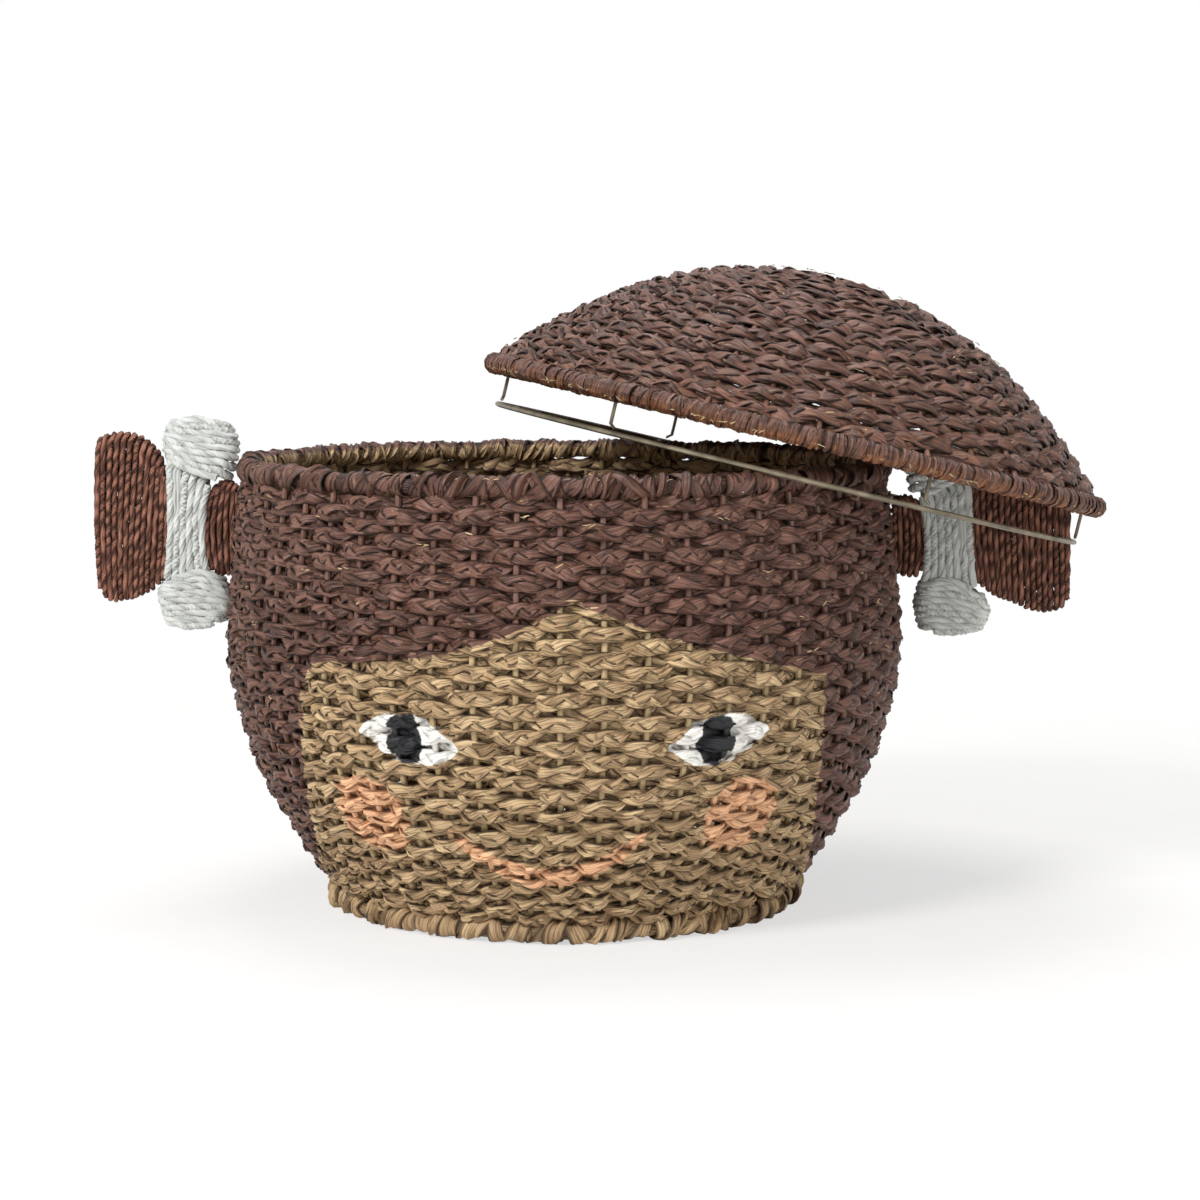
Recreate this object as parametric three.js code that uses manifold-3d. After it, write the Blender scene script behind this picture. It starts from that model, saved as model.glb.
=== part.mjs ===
// Lidded basket of grass braid, woven over a welded wire cage.
// Millimetres, +Z up, origin on the basket's axis under the middle of its floor.
// The lid lies askew over the rim, held by the wire ring that hangs below it.

import * as THREE from "three";
import { mergeVertices } from "three/addons/utils/BufferGeometryUtils.js";
import Module from "manifold-3d";

const wasm = await Module();
wasm.setup();

// Clearances and facets
const seatGap = 0.3;
const strandGap = 0.55;
const weldDistance = 1e-4;
const roundFacets = 36;
const sectionFacets = 8;

// Wire stock
const wireRadius = 1.5;
const wireFacets = 4;

// Floor and foot
const footCoilRadius = 136;
const footCoilThickness = 14;
const footFlatDepth = 0.5;
const floorThickness = 11;
const floorHubRadius = 18;
const floorSpokes = 12;

// Wall, measured on its middle line
const wallThickness = 11;
const wallWeb = 2.5;
const wallSteps = 5;
const stakes = 52;
const footRadius = 138.5;
const lowRadius = 162;
const lowHeight = 52;
const hipRadius = 182;
const hipHeight = 92;
const bellyRadius = 195;
const bellyHeight = 145;
const shoulderRadius = 192.5;
const shoulderHeight = 200;

// Rim
const rimRadius = 186.3;
const rimHeight = 257.6;
const rimCoilThickness = 12;

// Lid, in its own frame: the middle of its edge coil is the plane z = 0
const lidInset = 1.6;
const lidRadius = rimRadius - lidInset;
const lidCoilThickness = 11.6;
const lidHeight = 98;
const lidThickness = 10;
const lidFullness = 2.2;
const lidRibs = 36;
const lidSteps = 4;
const lidHubRadius = 20;

// Locating ring and its posts, below the lid's edge: the ring drops inside the rim coil
const ringClearance = 2.8;
const ringRadius = rimRadius - rimCoilThickness / 2 - ringClearance;
const ringDrop = 23.2;
const ringSides = 6;
const postRadius = 1.1;
const postCount = 6;
const postFirstAngle = -8;
const postFootLength = 3.5;
const postBendStart = 0.15;
const postSteps = 5;
const postSides = 5;

// The lid at rest, its ring round the right handle and down on the rim
const handleClearance = 4.3;
const lidSideways = 21.7;
const lidTilt = 13.45;
const lidPitch = -2.16;
const ringSamples = 720;

// Handles: an outer pigtail, a bow and a short inner pigtail on each side.
// Widths run outward from the wall, heights are above or below the handles' level.
const handleDrop = 37.6;
const handleLevel = rimHeight - handleDrop;
const windingSides = 4;
const capAngle = 30;
const frameClearance = 1.2;
const spineHeights = [-14, 11];
const pigtailDepth = 3.5;
const knotDepth = 4.8;
const lobeDepth = 6.5;
const handleSizes = {
  left: {
    side: -1,
    inner: { width: 12.4, loops: 4, top: [21, 24.5, 21], low: [-21, -25, -21] },
    knot: { width: 22.2, loops: 6 },
    outer: { width: 44, loops: 16, top: [46, 58.8, 58.8, 54], low: [-26, -37, -44, -40] },
    lobeTop: { loops: 9, standOff: 0, overhang: 0, low: [27, 32], top: [60.5, 66.3] },
    lobeLow: { loops: 8, standOff: 0, overhang: 9, low: [-59, -56.5], top: [-27.5, -35] },
  },
  right: {
    side: 1,
    inner: { width: 13.7, loops: 4, top: [16, 19.5, 16], low: [-26, -29.5, -26] },
    knot: { width: 26.9, loops: 7 },
    outer: { width: 58.9, loops: 20, top: [37, 42, 41, 28], low: [-29, -41, -49.5, -47.5] },
    lobeTop: { loops: 9, standOff: 0, overhang: 0, low: [21.5, 27], top: [55.5, 60.5] },
    lobeLow: { loops: 8, standOff: 6, overhang: 13, low: [-63, -60], top: [-32, -39] },
  },
};

// Materials
const paintedGrass = new THREE.MeshStandardMaterial({ color: 0x5e4139, roughness: 0.85 });
const naturalGrass = new THREE.MeshStandardMaterial({ color: 0xa98c64, roughness: 0.8 });
const bareWire = new THREE.MeshStandardMaterial({ color: 0x6b6357, roughness: 0.45, metalness: 0.9 });
const brownCord = new THREE.MeshStandardMaterial({ color: 0x6a3a2e, roughness: 0.8 });
const whiteCord = new THREE.MeshStandardMaterial({ color: 0xc9cccb, roughness: 0.8 });

const radians = THREE.MathUtils.degToRad;
const lerp = THREE.MathUtils.lerp;

// How far the middle of a facet lies inside its round
function facetSag(radius) {
  return radius * (1 - Math.cos(Math.PI / roundFacets));
}

// Closed solids
function signedVolume(geometry) {
  const position = geometry.getAttribute("position");
  const index = geometry.getIndex();
  const a = new THREE.Vector3();
  const b = new THREE.Vector3();
  const c = new THREE.Vector3();
  let volume = 0;
  for (let i = 0; i < index.count; i += 3) {
    a.fromBufferAttribute(position, index.getX(i));
    b.fromBufferAttribute(position, index.getX(i + 1));
    c.fromBufferAttribute(position, index.getX(i + 2));
    volume += a.dot(b.cross(c)) / 6;
  }
  return volume;
}

function closedSolid(geometry) {
  geometry.deleteAttribute("normal");
  geometry.deleteAttribute("uv");
  const merged = mergeVertices(geometry, weldDistance);
  const kept = [];
  const index = merged.getIndex();
  for (let i = 0; i < index.count; i += 3) {
    const corners = [index.getX(i), index.getX(i + 1), index.getX(i + 2)];
    if (new Set(corners).size === 3) {
      kept.push(...corners);
    }
  }
  merged.setIndex(kept);
  if (signedVolume(merged) < 0) {
    for (let i = 0; i < kept.length; i += 3) {
      [kept[i + 1], kept[i + 2]] = [kept[i + 2], kept[i + 1]];
    }
    merged.setIndex(kept);
  }
  return merged;
}

function fuse(geometries) {
  const solids = geometries.map((geometry) => {
    const closed = closedSolid(geometry);
    return new wasm.Manifold(new wasm.Mesh({
      numProp: 3,
      vertProperties: new Float32Array(closed.getAttribute("position").array),
      triVerts: new Uint32Array(closed.getIndex().array),
    }));
  });
  const whole = solids.reduce((sum, solid) => sum.add(solid));
  const mesh = whole.getMesh();
  const fused = new THREE.BufferGeometry();
  fused.setAttribute("position", new THREE.BufferAttribute(mesh.vertProperties, 3));
  fused.setIndex(new THREE.BufferAttribute(mesh.triVerts, 1));
  return fused;
}

function revolve(profile) {
  const geometry = new THREE.LatheGeometry(profile, roundFacets);
  geometry.rotateX(Math.PI / 2);
  return closedSolid(geometry);
}

function piece(name, geometry, material) {
  const mesh = new THREE.Mesh(geometry, material);
  mesh.name = name;
  return mesh;
}

// Wires
function wireShape(radius, sides) {
  const shape = new THREE.Shape();
  for (let i = 0; i < sides; i += 1) {
    const angle = ((i + 0.5) / sides) * 2 * Math.PI;
    const point = [radius * Math.cos(angle), radius * Math.sin(angle)];
    if (i === 0) {
      shape.moveTo(...point);
    } else {
      shape.lineTo(...point);
    }
  }
  return shape;
}

function wireAlong(path, steps, sides = wireFacets, radius = wireRadius) {
  return new THREE.ExtrudeGeometry(wireShape(radius, sides), {
    steps,
    extrudePath: path,
    bevelEnabled: false,
  });
}

function rod(from, to, sides = wireFacets) {
  const along = to.clone().sub(from);
  const length = along.length() + wireRadius;
  const geometry = new THREE.CylinderGeometry(wireRadius, wireRadius, length, sides, 1, false,
    Math.PI / sides);
  const turn = new THREE.Quaternion();
  turn.setFromUnitVectors(new THREE.Vector3(0, 1, 0), along.normalize());
  geometry.applyQuaternion(turn);
  const middle = from.clone().add(to).multiplyScalar(0.5);
  geometry.translate(middle.x, middle.y, middle.z);
  return geometry;
}

function wireRing(radius, height, sides = wireFacets) {
  const profile = [];
  for (let i = 0; i <= sides; i += 1) {
    const angle = ((i + 0.5) / sides) * 2 * Math.PI;
    profile.push(new THREE.Vector2(radius + wireRadius * Math.cos(angle),
      height + wireRadius * Math.sin(angle)));
  }
  return revolve(profile);
}

// A line of the body in the half plane of one stake or rib
class Meridian extends THREE.Curve {
  constructor(line, angle) {
    super();
    this.line = line;
    this.angle = angle;
  }

  getPoint(t) {
    const point = this.line.getPoint(t);
    return new THREE.Vector3(point.x * Math.cos(this.angle), point.x * Math.sin(this.angle), point.y);
  }
}

// A coil's section: a round with a slot on one side for the wires it is wrapped over
function coilProfile(centre, thickness, towards, floor = -Infinity) {
  const radius = thickness / 2;
  const slotHalf = wireRadius + seatGap + facetSag(centre.x);
  const start = towards.angle() + Math.asin(slotHalf / radius);
  const sweep = 2 * Math.PI - 2 * Math.asin(slotHalf / radius);
  const points = [];
  for (let i = 0; i <= sectionFacets; i += 1) {
    const angle = start + (sweep * i) / sectionFacets;
    points.push(new THREE.Vector2(centre.x + radius * Math.cos(angle),
      Math.max(floor, centre.y + radius * Math.sin(angle))));
  }
  const across = new THREE.Vector2(-towards.y, towards.x);
  for (const side of [-1, 1]) {
    points.push(centre.clone().addScaledVector(towards, -slotHalf)
      .addScaledVector(across, side * slotHalf));
  }
  points.push(points[0].clone());
  return points;
}

// A woven skin: two faces either side of a slot for the wires, along a middle line
function chordNormals(points) {
  return points.map((point, i) => {
    const before = points[Math.max(0, i - 1)];
    const after = points[Math.min(points.length - 1, i + 1)];
    const along = after.clone().sub(before).normalize();
    return new THREE.Vector2(along.y, -along.x);
  });
}

function offsetLine(points, normals, distance) {
  return points.map((point, i) => point.clone().addScaledVector(normals[i], distance));
}

// Windings: one unbroken strand round two edges of a flat form
function windingPath({ first, last, loops, depth }) {
  const roll = [-90, -capAngle, capAngle, 90].map(radians);
  const nose = depth * Math.cos(radians(capAngle));
  const path = [];
  const steps = 2 * roll.length;
  for (let i = 0; i <= loops * steps; i += 1) {
    const t = i / (loops * steps);
    const near = first(t);
    const far = last(t);
    const along = far.clone().sub(near).normalize();
    const step = i % steps;
    const onNear = step < roll.length;
    const angle = roll[step % roll.length];
    const end = onNear ? near : far;
    const outward = onNear ? -1 : 1;
    const reach = -nose + depth * Math.cos(angle);
    const sideways = (onNear ? 1 : -1) * depth * Math.sin(angle);
    path.push(new THREE.Vector3(end.x + along.x * outward * reach, sideways,
      end.z + along.z * outward * reach));
  }
  return path;
}

function strand(path, radius, axis) {
  const positions = [];
  const index = [];
  path.forEach((point, i) => {
    const before = path[Math.max(0, i - 1)];
    const after = path[Math.min(path.length - 1, i + 1)];
    const along = after.clone().sub(before).normalize();
    const across = axis.clone().addScaledVector(along, -axis.dot(along)).normalize();
    const up = new THREE.Vector3().crossVectors(along, across);
    for (let side = 0; side < windingSides; side += 1) {
      const angle = (side / windingSides) * 2 * Math.PI;
      const corner = point.clone()
        .addScaledVector(across, radius * Math.cos(angle))
        .addScaledVector(up, radius * Math.sin(angle));
      positions.push(corner.x, corner.y, corner.z);
    }
  });
  for (let ring = 0; ring < path.length - 1; ring += 1) {
    for (let side = 0; side < windingSides; side += 1) {
      const a = ring * windingSides + side;
      const b = ring * windingSides + ((side + 1) % windingSides);
      index.push(a, b, b + windingSides, a, b + windingSides, a + windingSides);
    }
  }
  const lastRing = (path.length - 1) * windingSides;
  for (let side = 1; side < windingSides - 1; side += 1) {
    index.push(0, side + 1, side);
    index.push(lastRing, lastRing + side, lastRing + side + 1);
  }
  const geometry = new THREE.BufferGeometry();
  geometry.setAttribute("position", new THREE.Float32BufferAttribute(positions, 3));
  geometry.setIndex(index);
  return closedSolid(geometry);
}

// Least gap between a winding's turns, from points along its centre line
function leastSelfGap(path, radius, loops) {
  const perStep = 6;
  const points = [];
  for (let i = 0; i < path.length - 1; i += 1) {
    for (let k = 0; k < perStep; k += 1) {
      points.push(path[i].clone().lerp(path[i + 1], k / perStep));
    }
  }
  const halfLoop = Math.floor(points.length / loops / 2);
  let least = Infinity;
  for (let i = 0; i < points.length; i += 1) {
    for (let j = i + halfLoop; j < points.length; j += 1) {
      least = Math.min(least, points[i].distanceTo(points[j]));
    }
  }
  return least - 2 * radius;
}

function strandRadius(room, loops) {
  return (room + strandGap) / (loops + 1) / 2 - strandGap / 2;
}

function winding(name, spec, material, axis) {
  const path = windingPath(spec);
  const gap = leastSelfGap(path, spec.radius, spec.loops);
  console.log(`${name}: ${spec.loops} loops, strand ${(2 * spec.radius).toFixed(2)} mm,`
    + ` least gap ${gap.toFixed(2)} mm`);
  return piece(name, strand(path, spec.radius, axis), material);
}

// How far a winding's frame lies inside the middle of its turns, clear of their slanted sides
function frameInset({ radius, depth }) {
  const clear = radius + seatGap;
  const flat = depth * Math.sin(radians(capAngle));
  const nose = depth * Math.cos(radians(capAngle));
  const slant = Math.hypot(nose, depth - flat);
  return Math.max(clear * frameClearance,
    (clear * slant - nose * (flat - wireRadius)) / (depth - flat));
}

// A closed wire frame inside a winding: its ends lie against the turns, its sides lie just
// inside the outer faces of the first and last of them
function frameLoop(spec, places) {
  const inset = frameInset(spec);
  const thickness = 2 * wireRadius;
  const corners = (depth) => {
    const shift = (depth - inset - spec.radius + seatGap)
      / (spec.loops * (2 * spec.radius + strandGap));
    const ends = places.map((place) => {
      const t = lerp(shift, 1 - shift, place);
      const near = spec.first(t);
      const far = spec.last(t);
      const across = far.clone().sub(near).normalize();
      return [near.addScaledVector(across, depth), far.addScaledVector(across, -depth)];
    });
    const loop = [...ends.map((pair) => pair[0]), ...ends.map((pair) => pair[1]).reverse()]
      .map((corner) => new THREE.Vector2(corner.x, corner.z));
    return THREE.ShapeUtils.isClockWise(loop) ? loop.reverse() : loop;
  };
  const shape = new THREE.Shape(corners(inset));
  shape.holes.push(new THREE.Path(corners(inset + thickness)));
  const geometry = new THREE.ExtrudeGeometry(shape, { depth: thickness, bevelEnabled: false });
  geometry.translate(0, 0, -wireRadius);
  geometry.rotateX(Math.PI / 2);
  return geometry;
}

// A line through points, from 0 at the first to 1 at the last
function throughPoints(points) {
  return (t) => {
    const place = t * (points.length - 1);
    const i = Math.max(0, Math.min(points.length - 2, Math.floor(place)));
    return points[i].clone().lerp(points[i + 1], place - i);
  };
}

// Basket
const footCoilCentre = new THREE.Vector2(footCoilRadius, footCoilThickness / 2 - footFlatDepth);
const footCoilTop = footCoilCentre.y + footCoilThickness / 2;
const wireLevel = floorThickness / 2;
const stakeFootClear = seatGap + wireRadius;
const stakeFootHeight = footCoilTop + seatGap + wallWeb + stakeFootClear;
const wallTop = rimHeight - rimCoilThickness / 2 - seatGap;
const wallLine = new THREE.SplineCurve([
  new THREE.Vector2(footRadius, stakeFootHeight),
  new THREE.Vector2(lowRadius, lowHeight),
  new THREE.Vector2(hipRadius, hipHeight),
  new THREE.Vector2(bellyRadius, bellyHeight),
  new THREE.Vector2(shoulderRadius, shoulderHeight),
  new THREE.Vector2(rimRadius, rimHeight),
]);
const wallSlotHalf = wireRadius + seatGap + facetSag(bellyRadius);
const wallMiddle = wallLine.getSpacedPoints(wallSteps);

// Moves the end of a line along its last segment to a given height
function endAtHeight(line, end, inside, height) {
  const share = (height - line[inside].y) / (line[end].y - line[inside].y);
  line[end] = line[inside].clone().lerp(line[end], share);
}

function wallProfile() {
  const normals = chordNormals(wallMiddle);
  const face = (distance, footHeight) => {
    const line = offsetLine(wallMiddle, normals, distance);
    endAtHeight(line, 0, 1, footHeight);
    endAtHeight(line, wallSteps, wallSteps - 1, wallTop);
    return line;
  };
  const footHeight = footCoilTop + seatGap;
  const outer = face(wallThickness / 2, footHeight);
  const inner = face(-wallThickness / 2, footHeight);
  const slotOuter = face(wallSlotHalf, footHeight + wallWeb);
  const slotInner = face(-wallSlotHalf, footHeight + wallWeb);
  return [...outer, ...slotOuter.reverse(), ...slotInner, ...inner.reverse(), outer[0].clone()];
}

const wall = wallProfile();

// Outermost radius of the wall between two heights
function wallReach(low, high) {
  const outer = wall.slice(0, wallSteps + 1);
  let reach = 0;
  for (let i = 0; i < wallSteps; i += 1) {
    const [from, to] = [outer[i], outer[i + 1]];
    for (const height of [low, high, from.y, to.y]) {
      if (height >= Math.max(low, from.y) && height <= Math.min(high, to.y)) {
        reach = Math.max(reach, lerp(from.x, to.x, (height - from.y) / (to.y - from.y)));
      }
    }
  }
  return reach;
}

function floorProfile() {
  const edge = footCoilRadius - footCoilThickness / 2 - seatGap;
  const slotHalf = wireRadius + seatGap;
  const slotStart = floorHubRadius - wireRadius;
  return [
    new THREE.Vector2(0, 0),
    new THREE.Vector2(edge, 0),
    new THREE.Vector2(edge, wireLevel - slotHalf),
    new THREE.Vector2(slotStart, wireLevel - slotHalf),
    new THREE.Vector2(slotStart, wireLevel + slotHalf),
    new THREE.Vector2(edge, wireLevel + slotHalf),
    new THREE.Vector2(edge, floorThickness),
    new THREE.Vector2(0, floorThickness),
  ];
}

function floorFrame() {
  const parts = [wireRing(footCoilRadius, wireLevel)];
  for (let i = 0; i < floorSpokes; i += 1) {
    const angle = (i / floorSpokes) * 2 * Math.PI;
    const out = new THREE.Vector3(Math.cos(angle), Math.sin(angle), 0);
    const level = new THREE.Vector3(0, 0, wireLevel);
    parts.push(rod(out.clone().multiplyScalar(floorHubRadius).add(level),
      out.clone().multiplyScalar(footCoilRadius - wireRadius).add(level)));
  }
  return fuse(parts);
}

function wallCage() {
  const parts = [wireRing(rimRadius, rimHeight)];
  for (let i = 0; i < stakes; i += 1) {
    parts.push(wireAlong(new Meridian(wallLine, (i / stakes) * 2 * Math.PI), wallSteps));
  }
  return fuse(parts);
}

function makeBasket() {
  const basket = new THREE.Group();
  const inward = new THREE.Vector2(-1, 0);
  const rimCentre = new THREE.Vector2(rimRadius, rimHeight);
  const towardsWall = wallMiddle[wallSteps - 1].clone().sub(rimCentre).normalize();
  basket.add(piece("floor_weave", revolve(floorProfile()), naturalGrass));
  basket.add(piece("floor_frame", floorFrame(), bareWire));
  basket.add(piece("base_coil",
    revolve(coilProfile(footCoilCentre, footCoilThickness, inward, 0)), naturalGrass));
  basket.add(piece("wall_weave", revolve(wall), paintedGrass));
  basket.add(piece("wall_cage", wallCage(), bareWire));
  basket.add(piece("rim_coil",
    revolve(coilProfile(rimCentre, rimCoilThickness, towardsWall)), naturalGrass));
  return basket;
}

// Handles
function handlePoint(sizes, out, height) {
  return new THREE.Vector3(sizes.side * out, 0, handleLevel + height);
}

// A pigtail or knot, with strands that run up and down between two outlines
function uprightSpec(sizes, { width, loops }, start, depth, high, low) {
  const radius = strandRadius(width, loops);
  const place = (k, count) => start + radius + ((width - 2 * radius) * k) / (count - 1);
  return {
    first: throughPoints(high.map((height, k) =>
      handlePoint(sizes, place(k, high.length), height - radius))),
    last: throughPoints(low.map((height, k) =>
      handlePoint(sizes, place(k, low.length), height + radius))),
    loops,
    depth,
    radius,
  };
}

// A lobe of the bow, with strands that run outward and back
function lobeSpec(sizes, lobe, start, reach) {
  const rise = Math.min(...lobe.top.map((height, k) => height - lobe.low[k]));
  const radius = strandRadius(rise, lobe.loops);
  const edge = (out, k) => throughPoints([handlePoint(sizes, out, lobe.low[k] + radius),
    handlePoint(sizes, out, lobe.top[k] - radius)]);
  return {
    first: edge(start + radius, 0),
    last: edge(reach - radius, 1),
    loops: lobe.loops,
    depth: lobeDepth,
    radius,
  };
}

// Where the pigtails and the knot start and end, outward from the basket's axis
function handleReaches({ inner, knot, outer }) {
  const innerStart = wallReach(handleLevel + Math.min(...inner.low),
    handleLevel + Math.max(...inner.top)) + seatGap;
  const knotStart = innerStart + inner.width + seatGap;
  const knotEnd = knotStart + knot.width;
  const outerStart = knotEnd + seatGap;
  return { innerStart, knotStart, knotEnd, outerStart, outerEnd: outerStart + outer.width };
}

function makeHandle(label, sizes) {
  const { inner, knot, outer, lobeTop, lobeLow } = sizes;
  const { innerStart, knotStart, knotEnd, outerStart, outerEnd } = handleReaches(sizes);
  const handle = new THREE.Group();
  const outwards = new THREE.Vector3(1, 0, 0);
  const upwards = new THREE.Vector3(0, 0, 1);
  const rimReach = rimRadius + rimCoilThickness / 2;
  const topStart = Math.max(rimReach, wallReach(handleLevel + lobeTop.low[0], wallTop))
    + seatGap + lobeTop.standOff;
  const lowStart = wallReach(handleLevel + lobeLow.low[0], handleLevel + lobeLow.top[0])
    + seatGap + lobeLow.standOff;
  const topReach = knotEnd + lobeTop.overhang;
  const lowReach = knotEnd + lobeLow.overhang;

  // The knot fills the height that the two lobes leave between them
  const knotHeights = (heights, start, reach, gap) => [knotStart, knotEnd].map((place) =>
    lerp(heights[0], heights[1], (place - start) / (reach - start)) + gap);

  const specs = {
    inner: uprightSpec(sizes, inner, innerStart, pigtailDepth, inner.top, inner.low),
    knot: uprightSpec(sizes, knot, knotStart, knotDepth,
      knotHeights(lobeTop.low, topStart, topReach, -seatGap),
      knotHeights(lobeLow.top, lowStart, lowReach, seatGap)),
    outer: uprightSpec(sizes, outer, outerStart, pigtailDepth, outer.top, outer.low),
    lobeTop: lobeSpec(sizes, lobeTop, topStart, topReach),
    lobeLow: lobeSpec(sizes, lobeLow, lowStart, lowReach),
  };

  const spines = spineHeights.map((height) => {
    const middle = handleLevel + height;
    const start = wallReach(middle - wireRadius, middle + wireRadius) + seatGap + wireRadius;
    const end = outerEnd - specs.outer.radius - wireRadius;
    return rod(handlePoint(sizes, start, height), handlePoint(sizes, end, height));
  });
  const frame = fuse([
    frameLoop(specs.inner, [0, 0.5, 1]),
    frameLoop(specs.knot, [0, 1]),
    frameLoop(specs.outer, [0, 1 / 3, 2 / 3, 1]),
    ...spines,
  ]);

  const name = (part) => `handle_${label}_${part}`;
  handle.add(piece(name("frame"), frame, bareWire));
  handle.add(winding(name("outer_wrap"), specs.outer, brownCord, outwards));
  handle.add(winding(name("inner_wrap"), specs.inner, brownCord, outwards));
  handle.add(winding(name("knot_wrap"), specs.knot, whiteCord, outwards));
  handle.add(winding(name("bow_top_wrap"), specs.lobeTop, whiteCord, upwards));
  handle.add(winding(name("bow_low_wrap"), specs.lobeLow, whiteCord, upwards));
  handle.add(piece(name("bow_top_frame"), closedSolid(frameLoop(specs.lobeTop, [0, 1])), bareWire));
  handle.add(piece(name("bow_low_frame"), closedSolid(frameLoop(specs.lobeLow, [0, 1])), bareWire));
  return handle;
}

// Lid
class DomeLine extends THREE.Curve {
  getPoint(t) {
    const rise = lidHeight - lidThickness / 2;
    const out = lerp(lidHubRadius, lidRadius, Math.sin((t * Math.PI) / 2));
    return new THREE.Vector2(out, rise * (1 - (out / lidRadius) ** lidFullness));
  }
}

// A line beside the weave's middle line, which stops short of the edge coil
function lidOffset(line, distance) {
  const middle = line.getSpacedPoints(lidSteps).map((p) => new THREE.Vector2(p.x, p.y));
  const clear = lidCoilThickness / 2 + seatGap;
  const rim = middle[lidSteps];
  const chord = rim.clone().sub(middle[lidSteps - 1]);
  rim.addScaledVector(chord.normalize(), -clear);
  const normals = chordNormals(middle).map((normal) => normal.negate());
  return offsetLine(middle, normals, distance);
}

function lidProfile(line) {
  const slotHalf = wireRadius + seatGap + facetSag(lidRadius);
  const outer = lidOffset(line, lidThickness / 2);
  const inner = lidOffset(line, -lidThickness / 2);
  const slotOuter = lidOffset(line, slotHalf);
  const slotInner = lidOffset(line, -slotHalf);
  slotOuter[0].x -= slotHalf;
  slotInner[0].x -= slotHalf;
  return [
    new THREE.Vector2(0, lidHeight),
    ...outer,
    ...slotOuter.reverse(),
    ...slotInner,
    ...inner.reverse(),
    new THREE.Vector2(0, lidHeight - lidThickness),
  ];
}

function lidCage(line) {
  const parts = [wireRing(lidRadius, 0)];
  for (let i = 0; i < lidRibs; i += 1) {
    parts.push(wireAlong(new Meridian(line, (i / lidRibs) * 2 * Math.PI), lidSteps));
  }
  return fuse(parts);
}

// A post stands on the ring and reaches up beside the edge coil to the weave's lower edge
function post(index, line) {
  const angle = radians(postFirstAngle + (index * 360) / postCount);
  const out = new THREE.Vector3(Math.cos(angle), Math.sin(angle), 0);
  const side = new THREE.Vector3(-Math.sin(angle), Math.cos(angle), 0);
  const headHeight = lidOffset(line, -lidThickness / 2)[lidSteps].y - seatGap;
  const footHeight = -ringDrop + wireRadius + seatGap + postRadius;
  const at = (distance, height) => out.clone().multiplyScalar(distance).setZ(height);
  const head = at(lidRadius - lidCoilThickness / 2 - seatGap - postRadius, headHeight);
  const heel = at(ringRadius, footHeight);
  const toe = heel.clone().addScaledVector(side, postFootLength);
  const bend = new THREE.CurvePath();
  const lead = heel.clone().lerp(head, postBendStart);
  bend.add(new THREE.LineCurve3(head, lead));
  bend.add(new THREE.QuadraticBezierCurve3(lead, heel, toe));
  return closedSolid(wireAlong(bend, postSteps, postSides, postRadius));
}

// The lid comes down beside the handle's outer end until its ring meets the rim coil
function lidPlace(turn, handleEnd) {
  const onRing = (angle) => new THREE.Vector3(ringRadius * Math.cos(angle),
    ringRadius * Math.sin(angle), -ringDrop).applyEuler(turn);
  const place = new THREE.Vector3(handleEnd + handleClearance + wireRadius - onRing(0).x,
    lidSideways, 0);
  const reach = rimCoilThickness / 2 + wireRadius + seatGap;
  for (let i = 0; i < ringSamples; i += 1) {
    const spot = onRing((i / ringSamples) * 2 * Math.PI);
    const aside = Math.hypot(spot.x + place.x, spot.y + place.y) - rimRadius;
    if (Math.abs(aside) < reach) {
      place.z = Math.max(place.z, rimHeight + Math.sqrt(reach ** 2 - aside ** 2) - spot.z);
    }
  }
  return place;
}

function makeLid() {
  const lid = new THREE.Group();
  const line = new DomeLine();
  const rimPoint = line.getPoint(1);
  const ahead = line.getPointAt((lidSteps - 1) / lidSteps);
  const towardsDome = ahead.clone().sub(rimPoint).normalize();
  lid.add(piece("lid_weave", revolve(lidProfile(line)), paintedGrass));
  lid.add(piece("lid_cage", lidCage(line), bareWire));
  lid.add(piece("lid_rim_coil",
    revolve(coilProfile(rimPoint, lidCoilThickness, towardsDome)), paintedGrass));
  lid.add(piece("locating_ring", wireRing(ringRadius, -ringDrop, ringSides), bareWire));
  for (let i = 0; i < postCount; i += 1) {
    lid.add(piece(`lid_post_${i + 1}`, post(i, line), bareWire));
  }
  lid.rotation.set(radians(lidPitch), radians(lidTilt), 0, "XYZ");
  lid.position.copy(lidPlace(lid.rotation, handleReaches(handleSizes.right).outerEnd));
  return lid;
}

const lidded_basket = new THREE.Group();
lidded_basket.add(makeBasket());
for (const [label, sizes] of Object.entries(handleSizes)) {
  lidded_basket.add(makeHandle(label, sizes));
}
lidded_basket.add(makeLid());

export default lidded_basket;
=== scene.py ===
# A lidded basket of grass braid on a wire cage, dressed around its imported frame.
# Shapes are worked out in millimetres and become metres when a mesh is made.
import math

import bpy
import numpy as np
from mathutils import Euler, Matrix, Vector


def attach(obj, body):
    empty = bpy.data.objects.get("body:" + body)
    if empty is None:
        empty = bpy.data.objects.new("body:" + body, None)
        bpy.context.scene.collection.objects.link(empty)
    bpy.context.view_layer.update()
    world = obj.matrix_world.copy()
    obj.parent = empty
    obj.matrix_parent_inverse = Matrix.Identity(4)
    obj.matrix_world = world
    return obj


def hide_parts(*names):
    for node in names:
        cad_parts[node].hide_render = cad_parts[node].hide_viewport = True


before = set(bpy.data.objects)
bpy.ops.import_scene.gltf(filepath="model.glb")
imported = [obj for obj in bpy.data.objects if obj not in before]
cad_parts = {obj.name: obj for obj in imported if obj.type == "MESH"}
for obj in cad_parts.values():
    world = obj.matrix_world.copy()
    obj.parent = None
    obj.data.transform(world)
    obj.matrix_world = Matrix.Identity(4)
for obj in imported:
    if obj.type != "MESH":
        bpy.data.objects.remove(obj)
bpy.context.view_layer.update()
bpy.ops.object.select_all(action="DESELECT")
print("frame loaded")

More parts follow.
